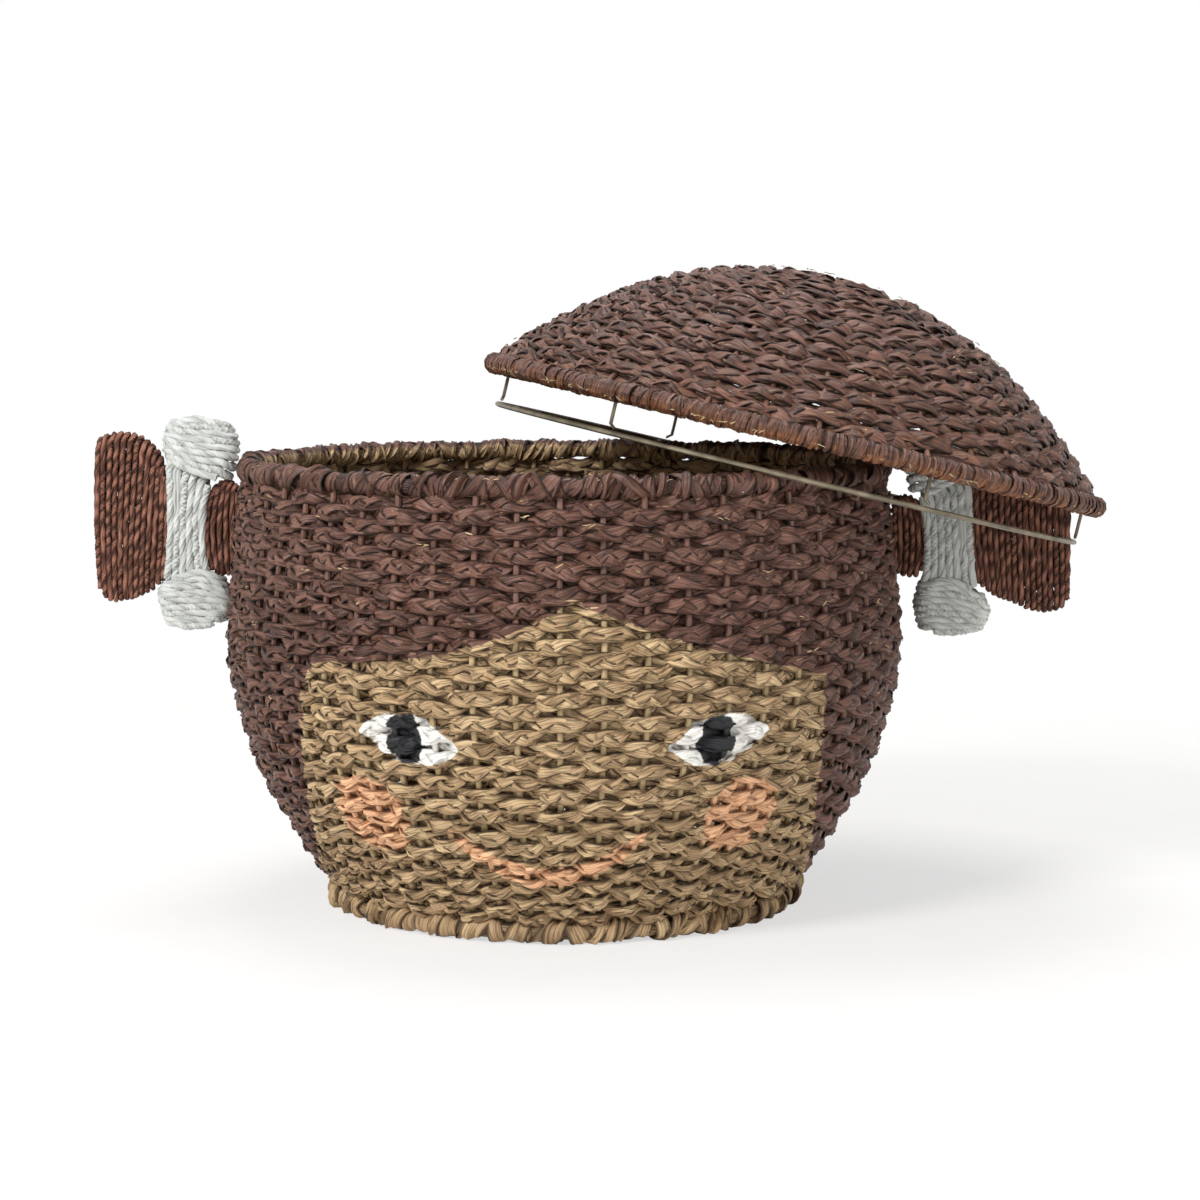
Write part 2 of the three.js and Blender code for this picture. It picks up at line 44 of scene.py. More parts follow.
mm = 0.001
fullTurn = 2 * math.pi
seed = 20
creaseAngle = math.radians(34)    # folds sharper than this show as edges
upward = np.array([0.0, 0.0, 1.0])
floorClear = 0.2                  # mm, the lowest that a strand pressed on the floor reaches


# Arrays of points and directions

def unit(vectors):
    return vectors / np.linalg.norm(vectors, axis=-1, keepdims=True)


def radial(angle):
    # outward direction in plan; angle 0 is the painted front, a quarter turn is +X
    return np.stack([np.sin(angle), -np.cos(angle), np.zeros_like(angle)], axis=-1)


def lathe(angle, out, high):
    # points or directions given as out from the axis and up, turned to angles round it
    return radial(angle) * out + upward * high


def running(out):
    # the direction that runs round the basket where these face out
    return np.stack([-out[:, 1], out[:, 0], np.zeros(len(out))], axis=1)


def wobble(turn, amount, waves, rng):
    # smooth noise that closes on itself over one full turn
    total = np.zeros_like(turn)
    count = 7
    for _ in range(count):
        wave = rng.integers(waves[0], waves[1] + 1)
        total += np.sin(wave * turn + rng.uniform(0, fullTurn))
    return total * amount * math.sqrt(2 / count)


def curveThrough(points, count):
    # a smooth line through a few points, as a spline that passes each of them
    points = np.array(points, float)
    last = len(points) - 1
    made = []
    for place in np.linspace(0, last, count):
        i = min(int(place), last - 1)
        t = place - i
        before, start = points[max(i - 1, 0)], points[i]
        end, after = points[i + 1], points[min(i + 2, last)]
        leave, arrive = (end - before) / 2, (after - start) / 2
        made.append((2 * start - 2 * end + leave + arrive) * t ** 3
                    + (3 * end - 3 * start - 2 * leave - arrive) * t ** 2 + leave * t + start)
    return np.array(made)


def runOf(line):
    # distance from the start at each point of a line
    steps = np.linalg.norm(np.diff(line, axis=0), axis=1)
    return np.concatenate([[0], np.cumsum(steps)])


def evenly(line, places):
    # points of a line at distances along it
    run = runOf(line)
    return np.stack([np.interp(places, run, values) for values in line.T], axis=1)


def headed(line, places):
    # points at distances along a line, with the line's direction there
    spots = evenly(line, places)
    return spots, unit(evenly(line, places + 1) - spots)


# Strands and cords: an outline swept along a line. Each point of an outline is across, out
# and how far a pleat moves it.

grassOutline = [(1, 0, 0), (0.7, 0.66, -0.2), (0.15, 0.85, 0.5), (-0.35, 0.8, -0.35),
                (-0.8, 0.55, 0.15), (-1, 0, 0), (-0.5, -0.8, 0), (0.5, -0.8, 0)]
grainShift = {"lot": 7, "face": 40}    # keeps the patterns of two strands, and of two faces, apart


def roundOutline(sides):
    turned = np.arange(sides) / sides * fullTurn
    return [(math.cos(a), math.sin(a), 0) for a in turned]


wireOutline = roundOutline(8)
plyOutline = roundOutline(6)


def perRing(value, count):
    # one number, or one for each point of the line
    return np.broadcast_to(value, count)[:, None]


def sweep(strand, outline):
    centre = strand["centre"]
    closed = strand.get("closed", False)
    count, sides = len(centre), len(outline)
    if closed:
        travel = unit(np.roll(centre, -1, 0) - np.roll(centre, 1, 0))
    else:
        travel = unit(np.gradient(centre, axis=0))
    across = unit(np.cross(strand["out"], travel))
    out = np.cross(travel, across)
    roll = perRing(strand.get("roll", 0.0), count)
    across, out = (across * np.cos(roll) + out * np.sin(roll),
                   out * np.cos(roll) - across * np.sin(roll))
    halfWidth = perRing(strand["width"], count) / 2
    halfThick = perRing(strand["thick"], count) / 2
    flat, high, fold = np.array(outline, float).T
    x = flat * halfWidth
    y = (high + fold * perRing(strand.get("pleat", 0.0), count)) * halfThick
    points = centre[:, None] + across[:, None] * x[..., None] + out[:, None] * y[..., None]
    sideways = across[:, None] * (x / halfWidth ** 2)[..., None]
    normals = unit(sideways + out[:, None] * (y / halfThick ** 2)[..., None])
    # side: painted shade towards a strand's edges, where the next strand shades it; each strand's shade
    # scales it
    side = np.abs(flat) * perRing(strand.get("shade", 1.0), count)
    if "cord" in strand:
        # a ply lies in shade where its cord meets the next one
        middle, aside, half = strand["cord"]
        fromMiddle = np.sum((points - middle[:, None]) * aside[:, None], axis=2)
        side = np.maximum(side, np.abs(fromMiddle) / half)

    ring = np.arange(count if closed else count - 1)[:, None] * sides
    corner = np.arange(sides)[None, :]
    nextCorner = (corner + 1) % sides
    nextRing = (ring + sides) % (count * sides)
    quads = [ring + corner, ring + nextCorner, nextRing + nextCorner, nextRing + corner]
    faces = np.stack(quads, axis=-1).reshape(-1, 4).tolist()
    if not closed:
        faces.append(list(range(sides))[::-1])
        faces.append(list(range((count - 1) * sides, count * sides)))

    lot = strand.get("lot", 0.0)
    along = runOf(centre)[:, None] + grainShift["lot"] * lot
    grain = np.stack(np.broadcast_arrays(along, x + lot, np.sign(high) * grainShift["face"]), axis=-1)
    return {
        "points": points.reshape(-1, 3),
        "normals": normals.reshape(-1, 3),
        "faces": faces,
        "grain": grain.reshape(-1, 3),
        "side": side.reshape(-1),
        "tint": np.repeat(np.broadcast_to(strand.get("tint", 0.5), count), sides),
        "wear": np.repeat(np.broadcast_to(strand.get("wear", 0.0), count), sides),
        "place": None if "place" not in strand else np.repeat(strand["place"], sides, axis=0),
    }


def makePiece(name, strands, outline, material, body, replaced, paint=None):
    swept = [sweep(strand, outline) for strand in strands]
    joined = {key: np.concatenate([s[key] for s in swept])
              for key in ("points", "normals", "grain", "side", "tint", "wear")}
    points = joined["points"]
    points[:, 2] = np.maximum(points[:, 2], floorClear)
    faces = []
    start = 0
    for s in swept:
        faces.extend([[corner + start for corner in face] for face in s["faces"]])
        start += len(s["points"])
    mesh = bpy.data.meshes.new(name)
    mesh.from_pydata((points * mm).tolist(), [], faces)
    values = {key: joined[key] for key in ("side", "tint", "wear")}
    if paint:
        places = None
        if swept[0]["place"] is not None:
            places = np.concatenate([s["place"] for s in swept])
        values.update(paint(points, joined["normals"], places))
    for key, value in values.items():
        layer = mesh.attributes.new(key, "FLOAT", "POINT")
        layer.data.foreach_set("value", np.ascontiguousarray(value, np.float32))
    grain = mesh.attributes.new("grain", "FLOAT_VECTOR", "POINT")
    grain.data.foreach_set("vector", joined["grain"].astype(np.float32).ravel())
    mesh.shade_smooth()
    mesh.set_sharp_from_angle(angle=creaseAngle)
    piece = bpy.data.objects.new(name, mesh)
    bpy.context.scene.collection.objects.link(piece)
    mesh.materials.append(material)
    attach(piece, body)
    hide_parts(*replaced)
    print(name, len(faces), "faces")


# Materials

def linear(hexColour):
    parts = [int(hexColour[i:i + 2], 16) / 255 for i in (1, 3, 5)]
    return [p / 12.92 if p <= 0.04045 else ((p + 0.055) / 1.055) ** 2.4 for p in parts] + [1.0]


smoothly = {"interpolation_type": "SMOOTHSTEP"}


def addNode(tree, kind, links=(), **settings):
    # links are given in order or by socket; each is a node, whose first output is meant, or a
    # socket, or a plain value
    node = tree.nodes.new("ShaderNode" + kind)
    for key, value in settings.items():
        setattr(node, key, value)
    for socket, value in links.items() if isinstance(links, dict) else enumerate(links):
        if isinstance(value, bpy.types.Node):
            value = value.outputs[0]
        if isinstance(value, bpy.types.NodeSocket):
            tree.links.new(value, node.inputs[socket])
        else:
            node.inputs[socket].default_value = value
    return node


def newMaterial(name, roughness, specular=0.5):
    material = bpy.data.materials.new(name)
    material.use_nodes = True
    tree = material.node_tree
    tree.nodes.clear()
    shader = addNode(tree, "BsdfPrincipled", {"Roughness": roughness, "Specular IOR Level": specular})
    addNode(tree, "OutputMaterial", {"Surface": shader})
    return material, tree, shader


def coverShader(tree, shader, colour, height, look):
    bump = addNode(tree, "Bump", {
        "Strength": look["bumpStrength"], "Distance": look["bumpHeight"] * mm, "Height": height})
    tree.links.new(colour.outputs[0], shader.inputs["Base Color"])
    tree.links.new(bump.outputs[0], shader.inputs["Normal"])


# Dried sedge grass, plaited by hand: a matt straw, each strand a little lighter or darker, with
# lengthwise ridges and brown spots where the leaf was bruised
grassLook = {
    # crease is the colour of painted shade, laid in the folds and on a strand's sides where the next
    # strand would shade it
    "dark": "#745b3d", "mid": "#b69873", "light": "#d4b78d", "bruise": "#5d4629", "crease": "#38271a",
    "ridgeLength": 28,
    "ridgeWidth": 0.8,      # drawn twice as coarse as the leaf's ribs, so that they show
    "patchLength": 22, "patchWidth": 6,
    "creaseLength": 24, "creaseWidth": 1.9,
    "ridgeShare": 0.55, "tintShare": 0.8, "patchShare": 0.8,    # what each adds to the tone
    "midFrom": 0.7, "midTo": 1.25, "lightFrom": 1.2, "lightTo": 1.65,
    "bruiseSize": 8, "bruiseFrom": 0.64, "bruiseTo": 0.78, "bruiseDepth": 0.6,
    "foldWidth": 0.07,      # share of the distance between two creases
    "foldDepth": 0.55,      # share of shade in a fold
    "edgeFrom": 0.66,       # share of a strand's half width
    "edgeDepth": 0.92,      # a strand's sides lie in the shade of the next one
    "bumpHeight": 0.9, "bumpStrength": 0.9,
    "roughness": 0.6,
}


def grassNodes(tree, look):
    tint = addNode(tree, "Attribute", attribute_name="tint").outputs["Fac"]
    side = addNode(tree, "Attribute", attribute_name="side").outputs["Fac"]
    grain = addNode(tree, "Attribute", attribute_name="grain").outputs["Vector"]
    place = addNode(tree, "TexCoord").outputs["Object"]
    stretched = {}
    for key in ("ridge", "patch", "crease"):
        scale = (1 / look[key + "Length"], 1 / look[key + "Width"], 1)
        stretched[key] = addNode(tree, "VectorMath", [grain, scale], operation="MULTIPLY")
    ridges = addNode(tree, "TexNoise", {
        "Vector": stretched["ridge"], "Scale": 1, "Detail": 3, "Roughness": 0.65})
    patches = addNode(tree, "TexNoise", {"Vector": stretched["patch"], "Scale": 1, "Detail": 2})
    spots = addNode(tree, "TexNoise", {"Vector": place, "Scale": 1000 / look["bruiseSize"], "Detail": 2})
    ridges = addNode(tree, "Math", [
        ridges, look["ridgeShare"], (1 - look["ridgeShare"]) / 2], operation="MULTIPLY_ADD")
    tone = addNode(tree, "Math", [tint, look["tintShare"], ridges], operation="MULTIPLY_ADD")
    tone = addNode(tree, "Math", [patches, look["patchShare"], tone], operation="MULTIPLY_ADD")
    low = addNode(tree, "MapRange", [tone, look["midFrom"], look["midTo"]], **smoothly)
    high = addNode(tree, "MapRange", [tone, look["lightFrom"], look["lightTo"]], **smoothly)
    straw = addNode(tree, "MixRGB", [low, linear(look["dark"]), linear(look["mid"])])
    straw = addNode(tree, "MixRGB", [high, straw, linear(look["light"])])
    bruised = addNode(tree, "MapRange", {
        0: spots, 1: look["bruiseFrom"], 2: look["bruiseTo"], 4: look["bruiseDepth"]}, **smoothly)
    straw = addNode(tree, "MixRGB", [bruised, straw, linear(look["bruise"])])
    # long folds where the leaf is creased together, with painted shade laid in them
    creases = addNode(tree, "TexVoronoi", {"Vector": stretched["crease"], "Scale": 1},
                      feature="DISTANCE_TO_EDGE")
    smooth = addNode(tree, "MapRange", [creases.outputs["Distance"], 0.0, look["foldWidth"]])
    foldShade = addNode(tree, "MapRange", {0: smooth, 3: look["foldDepth"], 4: 0.0})
    relief = addNode(tree, "Math", [smooth, 0.5, ridges], operation="MULTIPLY_ADD")
    side = addNode(tree, "MapRange", {0: side, 1: look["edgeFrom"], 2: 1.0, 4: look["edgeDepth"]})
    shade = addNode(tree, "Math", [side, foldShade], operation="MAXIMUM")
    # painted shade: folds and strand sides darken towards the crease colour
    straw = addNode(tree, "MixRGB", [shade, straw, linear(look["crease"])])
    return straw, ridges, relief, shade


def naturalGrass(name, look):
    material, tree, shader = newMaterial(name, look["roughness"], 0.35)
    straw, _, relief, _ = grassNodes(tree, look)
    coverShader(tree, shader, straw, relief, look)
    return material


# Matt water paint brushed over the braid from outside: it fills the finest ribs, keeps off the
# inward faces and shows the straw in flecks, and an orange ground coat where it was rubbed
paintLook = {
    # the darkest brown and the darker coral are painted shade for strand sides and folds
    "brownDark": "#402820", "brownLight": "#7e5b4f", "brownShade": "#120b08",
    "coral": "#edb98f", "coralShade": "#966040", "white": "#f4f2ec", "black": "#26272a",
    "rub": "#8f5d3c", "fleck": "#e2c59a",
    "tintShare": 0.55, "lightFrom": 0.45, "lightTo": 1.05,
    "rubFrom": 0.38, "rubTo": 0.6,
    "fleckSize": 2.2, "fleckFrom": 0.735, "fleckTo": 0.77, "fleckWear": 0.06,
    "edgeSize": 6, "edgeWander": 2.2, "edgeSoft": 0.5,     # mm, how the brush's edge strays
    "coverSize": 7,
    "paintFrom": -0.5, "paintTo": -0.15,    # how far a face may turn inwards and still get paint
    "dabFrom": -0.9, "dabTo": -0.6,         # the eyes are dabbed on thickly, into the gaps too
    "filled": 0.3,                          # share of the relief that paint fills
    "roughness": 0.46,
}


def paintNodes(tree, ground, ridges, shade, look):
    values = {}
    for key in ("tint", "wear", "outward", "paintBrown", "paintCoral", "paintWhite", "paintBlack"):
        values[key] = addNode(tree, "Attribute", attribute_name=key).outputs["Fac"]
    place = addNode(tree, "TexCoord").outputs["Object"]
    strays = addNode(tree, "TexNoise", {"Vector": place, "Scale": 1000 / look["edgeSize"], "Detail": 3})
    specks = addNode(tree, "TexNoise", {"Vector": place, "Scale": 1000 / look["fleckSize"], "Detail": 3})
    cover = addNode(tree, "TexNoise", {"Vector": place, "Scale": 1000 / look["coverSize"], "Detail": 2})

    tone = addNode(tree, "Math", [
        values["tint"], look["tintShare"], ridges], operation="MULTIPLY_ADD")
    tone = addNode(tree, "MapRange", [tone, look["lightFrom"], look["lightTo"]], **smoothly)
    brown = addNode(tree, "MixRGB", [tone, linear(look["brownDark"]), linear(look["brownLight"])])
    rub = addNode(tree, "MapRange", [cover, look["rubFrom"], look["rubTo"]], **smoothly)
    rub = addNode(tree, "Math", [rub, values["wear"]], operation="MULTIPLY")
    brown = addNode(tree, "MixRGB", [rub, brown, linear(look["rub"])])
    bare = addNode(tree, "Math", [
        values["wear"], look["fleckWear"], specks], operation="MULTIPLY_ADD")
    bare = addNode(tree, "MapRange", [bare, look["fleckFrom"], look["fleckTo"]], **smoothly)
    brown = addNode(tree, "MixRGB", [bare, brown, linear(look["fleck"])])
    # painted shade: brown and coral paint darken on a strand's sides and in its folds, as the straw does
    brown = addNode(tree, "MixRGB", [shade, brown, linear(look["brownShade"])])
    coral = addNode(tree, "MixRGB", [shade, linear(look["coral"]), linear(look["coralShade"])])

    faces = addNode(tree, "Math", [cover, 0.5, values["outward"]], operation="MULTIPLY_ADD")
    dabbed = addNode(tree, "MapRange", [faces, look["dabFrom"], look["dabTo"]], **smoothly)
    brushed = addNode(tree, "MapRange", [faces, look["paintFrom"], look["paintTo"]], **smoothly)
    strays = addNode(tree, "Math", [
        strays, 2 * look["edgeWander"], -look["edgeWander"]], operation="MULTIPLY_ADD")
    painted, covered = ground, None
    coats = {"paintBrown": (brown, brushed), "paintCoral": (coral, brushed),
             "paintWhite": (linear(look["white"]), dabbed), "paintBlack": (linear(look["black"]), dabbed)}
    for key, (coat, reached) in coats.items():
        reach = addNode(tree, "Math", [values[key], strays], operation="ADD")
        share = addNode(tree, "MapRange", [reach, -look["edgeSoft"], look["edgeSoft"]], **smoothly)
        share = addNode(tree, "Math", [share, reached], operation="MULTIPLY")
        painted = addNode(tree, "MixRGB", [share, painted, coat])
        covered = addNode(tree, "Math", [covered or 0.0, share], operation="MAXIMUM")
    return painted, covered


def paintedGrass(name, look, paint):
    material, tree, shader = newMaterial(name, look["roughness"], 0.3)
    straw, ridges, relief, shade = grassNodes(tree, look)
    colour, covered = paintNodes(tree, straw, ridges, shade, paint)
    kept = addNode(tree, "Math", [covered, -paint["filled"], 1.0], operation="MULTIPLY_ADD")
    height = addNode(tree, "Math", [relief, kept], operation="MULTIPLY")
    rough = addNode(tree, "MapRange", {0: covered, 3: look["roughness"], 4: paint["roughness"]})
    tree.links.new(rough.outputs[0], shader.inputs["Roughness"])
    coverShader(tree, shader, colour, height, look)
    return material


# Drawn steel wire with a dull khaki lacquer: a soft sheen, faint lengthwise scratches
wireLook = {
    "dark": "#5f5646", "light": "#8b806b", "scratch": 12, "metal": 0.35,
    "roughLow": 0.38, "roughHigh": 0.52, "bumpHeight": 0.05, "bumpStrength": 0.3,
}
stakeLook = dict(wireLook, dark="#8f7a57", light="#c4aa80", scratch=9, metal=0.1)


def wireNodes(tree, look):
    place = addNode(tree, "TexCoord").outputs["Object"]
    streaks = addNode(tree, "TexNoise", {"Vector": place, "Scale": 1000 / look["scratch"], "Detail": 4})
    share = addNode(tree, "MapRange", [streaks, 0.35, 0.65])
    colour = addNode(tree, "MixRGB", [share, linear(look["dark"]), linear(look["light"])])
    return colour, streaks


def lacqueredWire(name, look, paint=None):
    material, tree, shader = newMaterial(name, look["roughLow"])
    colour, streaks = wireNodes(tree, look)
    rough = addNode(tree, "MapRange", [
        streaks, 0.3, 0.7, look["roughLow"], look["roughHigh"]])
    tree.links.new(rough.outputs[0], shader.inputs["Roughness"])
    if paint:
        colour, covered = paintNodes(tree, colour, streaks, 0.0, paint)
        metal = addNode(tree, "Math", [
            covered, -look["metal"], look["metal"]], operation="MULTIPLY_ADD")
        tree.links.new(metal.outputs[0], shader.inputs["Metallic"])
    else:
        shader.inputs["Metallic"].default_value = look["metal"]
    coverShader(tree, shader, colour, streaks, look)
    return material


# Dyed kraft paper twisted to a two-ply cord: dry and matt, with creases along each ply
# edge is the colour of painted shade, laid on a ply's sides where it meets the other ply and the next cord
brownCordLook = {
    "dark": "#573326", "light": "#a5725e", "edge": "#1c0f0b", "edgeDepth": 0.85,
    "creaseWidth": 0.5, "creaseLength": 9, "bumpHeight": 0.25, "bumpStrength": 0.9,
}
whiteCordLook = {
    "dark": "#c8cbc7", "light": "#d8dad6", "edge": "#a4a7a4", "edgeDepth": 0.2,
    "creaseWidth": 0.6, "creaseLength": 8, "bumpHeight": 0.3, "bumpStrength": 0.9,
}


def paperCord(name, look):
    material, tree, shader = newMaterial(name, 0.75, 0.3)
    tint = addNode(tree, "Attribute", attribute_name="tint").outputs["Fac"]
    side = addNode(tree, "Attribute", attribute_name="side").outputs["Fac"]
    grain = addNode(tree, "Attribute", attribute_name="grain").outputs["Vector"]
    scale = (1 / look["creaseLength"], 1 / look["creaseWidth"], 1)
    along = addNode(tree, "VectorMath", [grain, scale], operation="MULTIPLY")
    creases = addNode(tree, "TexNoise", {"Vector": along, "Scale": 1, "Detail": 3})
    tone = addNode(tree, "Math", [tint, 0.5, creases], operation="MULTIPLY_ADD")
    share = addNode(tree, "MapRange", [tone, 0.45, 1.0], **smoothly)
    colour = addNode(tree, "MixRGB", [share, linear(look["dark"]), linear(look["light"])])
    # painted shade on the sides of each ply
    side = addNode(tree, "MapRange", {0: side, 1: 0.6, 2: 1.0, 4: look["edgeDepth"]})
    colour = addNode(tree, "MixRGB", [side, colour, linear(look["edge"])])
    coverShader(tree, shader, colour, creases, look)
    return material


wallGrass = paintedGrass("sedgeBraidPainted", grassLook, paintLook)
plainGrass = naturalGrass("sedgeBraidNatural", grassLook)
plainWire = lacqueredWire("steelWireLacquered", wireLook)
cageWire = lacqueredWire("steelWirePainted", stakeLook, paintLook)
brownCord = paperCord("paperCordBrown", brownCordLook)
whiteCord = paperCord("paperCordWhite", whiteCordLook)
print("materials made")


# The braid: three flat strands plaited, woven out and in past the stakes

braidSizes = {
    "width": 12.5,         # across the braid where it bulges, mm
    "narrow": 0.88,        # share of that width where it passes between stakes
    "strandWidth": 7.0,
    "strandThick": 1.8,
    "lift": 1.15,          # how far strands ride over each other
    "period": 43,          # length in which a strand comes back to its side
    "weave": 3.2,          # how far the braid swings out and in past a stake
    "hug": 1.8,            # how closely it bends round a stake
    "step": 3.0,           # distance between the points of a strand
    "snap": 0.3,           # how much paint keeps to whole strands
    "tightness": 0.12,     # how straight a strand runs from side to side, with a fold at each edge
    "tilt": 20,            # degrees, a strand leans towards the edge it goes to
    "foldedWidth": 0.68, "openWidth": 0.44,     # shares of its width at a fold, and more between folds
    "shade": 0.84, "edgeShade": 0.36,           # painted shade on a strand's sides, darkest where it dives between two courses
    "stray": {"pace": 0.4, "plump": 0.07, "rise": 0.5, "swing": 0.35, "aside": 0.25, "above": 0.15,
              "roll": 0.2, "width": 0.12, "thick": 0.12, "pleat": 1.1, "tint": 0.16},
}


def braid(course, size, rng):
    length, wave = course["length"], course["wave"]
    turn = course["along"] / length * fullTurn
    periods = max(1, round(length / size["period"]))
    slow = (max(1, periods // 3), max(3, periods))
    quick = (max(2, periods), max(5, 3 * periods))

    def stray(key, waves=quick):
        return wobble(turn, size["stray"][key], waves, rng)

    pace = stray("pace", slow)
    start = rng.uniform(0, fullTurn)
    plump = 1 + stray("plump")
    full = (size["narrow"] + (1 - size["narrow"]) * wave ** 2) * plump
    rise = stray("rise", slow)
    swing = wave * (size["weave"] + stray("swing"))
    sway = (size["width"] - size["strandWidth"]) / 2
    strands = []
    for k in range(3):
        phase = periods * turn + fullTurn * k / 3 + start + pace
        zigzag = np.sin(phase) - size["tightness"] * np.sin(3 * phase)
        aside = full * sway * zigzag + stray("aside") + rise
        above = swing + size["lift"] * np.sin(2 * phase) + stray("above")
        # a strand shows from the middle to its side; paint takes it as a whole there
        shown = np.round((phase - math.pi / 4) / math.pi) * math.pi + math.pi / 4
        shift = (shown - phase) / periods / fullTurn * length
        fold = size["foldedWidth"] + size["openWidth"] * np.cos(phase) ** 2
        strands.append({
            "centre": course["centre"] + course["up"] * aside[:, None] + course["out"] * above[:, None],
            "out": course["out"],
            "roll": stray("roll") - np.radians(size["tilt"]) * np.sin(phase),
            "width": size["strandWidth"] * fold * np.sqrt(full) * (1 + stray("width")),
            "thick": size["strandThick"] * (1 + stray("thick")),
            "pleat": stray("pleat"),
            "shade": size["shade"] + size["edgeShade"] * zigzag ** 2,
            "closed": True,
            "lot": rng.uniform(0, 400),
            "tint": np.clip(rng.normal(0.5, size["stray"]["tint"]) + stray("tint"), 0, 1),
            "wear": course["wear"],
            "place": np.stack([shift, full * sway * np.sin(shown) - aside], axis=1) * size["snap"],
        })
    return strands


def ringCourse(radius, height, normal, stakes, odd, size, wear=0.1):
    # one closed ring of braid; normal is its outward direction in the half plane
    length = fullTurn * radius
    count = max(24, int(math.ceil(length / size["step"])))
    turn = np.arange(count) / count
    angle = (turn + 0.5) * fullTurn    # a strand's ends meet at the back
    # the cage's first wire stands a quarter turn from the front
    swing = np.cos((angle - math.pi / 2) * stakes / 2) * (-1 if odd else 1)
    return {
        "centre": lathe(angle, radius, height),
        "out": lathe(angle, normal[0], normal[1]),
        "up": lathe(angle, -normal[1], normal[0]),
        "along": turn * length,
        "length": length,
        "wave": np.tanh(size["hug"] * swing) / math.tanh(size["hug"]),
        "wear": wear,
    }


# Wall

wallSizes = {
    "line": [(137.6, 14.9), (162, 52), (182, 92), (195, 145), (192.5, 200), (186.3, 257.6)],
    "courses": 37,
    "lowest": 0.0,       # first course, along the line
    "topClear": 9.6,     # last course, below the rim wire
    "stakes": 52,
    "stakeThick": 3.5, "ringThick": 3.0,
    "pieces": 4,
    "draws": 22,         # which random draws; these leave few gaps at the eyes
}

# The painted design. Angles are degrees from the front, heights and sizes mm.
allPainted, notPainted = 30.0, -10.0    # mm, well inside and well outside a painted edge
designSizes = {
    "hair": {"peakAngle": 2.0, "peak": 199, "low": (156.5, 120), "fall": (17, 50)},
    "side": {"half": 146, "top": 152, "draw": 0.03, "corner": 8, "cornerFall": 14},
    "eye": {"angles": (-25.2, 26.4), "height": 121, "halfWidth": 30, "halfHeight": 13.6,
            "fullness": 2.5, "lean": 0.13},
    "pupil": {"angles": (-25.7, 25.7), "height": 121, "halfWidth": 11, "halfHeight": 14.5},
    "cheek": {"angles": (-36.3, 33.6), "height": 75, "halfWidth": 24, "halfHeight": 22.5},
    "smile": {"angle": -2.5, "height": 42, "halfWidth": 56, "rise": 28, "band": 5.6, "blunt": 1.15},
}


def aroundTo(points, angle):
    # distance along the wall from an angle, and height
    radius = np.hypot(points[:, 0], points[:, 1])
    turned = np.arctan2(points[:, 0], -points[:, 1]) - math.radians(angle)
    return (turned + math.pi) % fullTurn * radius - math.pi * radius


def ovalReach(points, spot):
    # mm inside an oval, about; negative outside
    halves = []
    for angle in spot["angles"]:
        x = aroundTo(points, angle) / spot["halfWidth"]
        y = (points[:, 2] - spot["height"]) / spot["halfHeight"]
        halves.append((1 - np.hypot(x, y)) * min(spot["halfWidth"], spot["halfHeight"]))
    return np.maximum(*halves)


def almondReach(points, spot):
    # two arcs that meet in points at the sides; the inner point lies lower
    halves = []
    for angle in spot["angles"]:
        x = aroundTo(points, angle)
        middle = spot["height"] + spot["lean"] * x * math.copysign(1, angle)
        arc = 1 - np.abs(x / spot["halfWidth"]) ** spot["fullness"]
        halves.append(spot["halfHeight"] * arc - np.abs(points[:, 2] - middle))
    return np.maximum(*halves)


def designPaint(points, normals, places):
    out = radial(np.arctan2(points[:, 0], -points[:, 1]))
    spots = points.copy()
    if places is not None:
        # whole strands take the paint, so a point reads the design at its strand's middle
        spots += running(out) * places[:, :1] + upward * places[:, 1:]
    hair, side, smile = designSizes["hair"], designSizes["side"], designSizes["smile"]
    around = np.degrees(np.arctan2(spots[:, 0], -spots[:, 1]))
    left = around < hair["peakAngle"]
    low = np.where(left, *hair["low"])
    fall = np.where(left, *hair["fall"])
    line = low + (hair["peak"] - low) * np.exp(-np.abs(around - hair["peakAngle"]) / fall)
    edge = side["half"] - side["draw"] * np.maximum(0, side["top"] - spots[:, 2])
    drop = np.maximum(0, hair["low"][0] - spots[:, 2])
    edge -= np.where(left, side["corner"] * np.exp(-drop / side["cornerFall"]), 0)
    brown = np.maximum(spots[:, 2] - line, np.abs(spots[:, 0]) - edge)
    x = aroundTo(spots, smile["angle"]) / smile["halfWidth"]
    curve = smile["height"] + smile["rise"] * x ** 2
    band = smile["band"] * np.sqrt(np.clip(smile["blunt"] - x ** 2, 0, None))
    mouth = np.where(np.abs(x) < 1, band - np.abs(spots[:, 2] - curve), notPainted)
    face = {
        "paintCoral": np.maximum(mouth, ovalReach(spots, designSizes["cheek"])),
        "paintWhite": almondReach(points, designSizes["eye"]),
        "paintBlack": ovalReach(points, designSizes["pupil"]),
    }
    paint = {key: np.where(spots[:, 1] < 0, reach, notPainted) for key, reach in face.items()}
    paint["paintBrown"] = np.where(spots[:, 1] > 0, allPainted, brown)
    paint["outward"] = np.sum(out * normals, axis=1)
    return paint


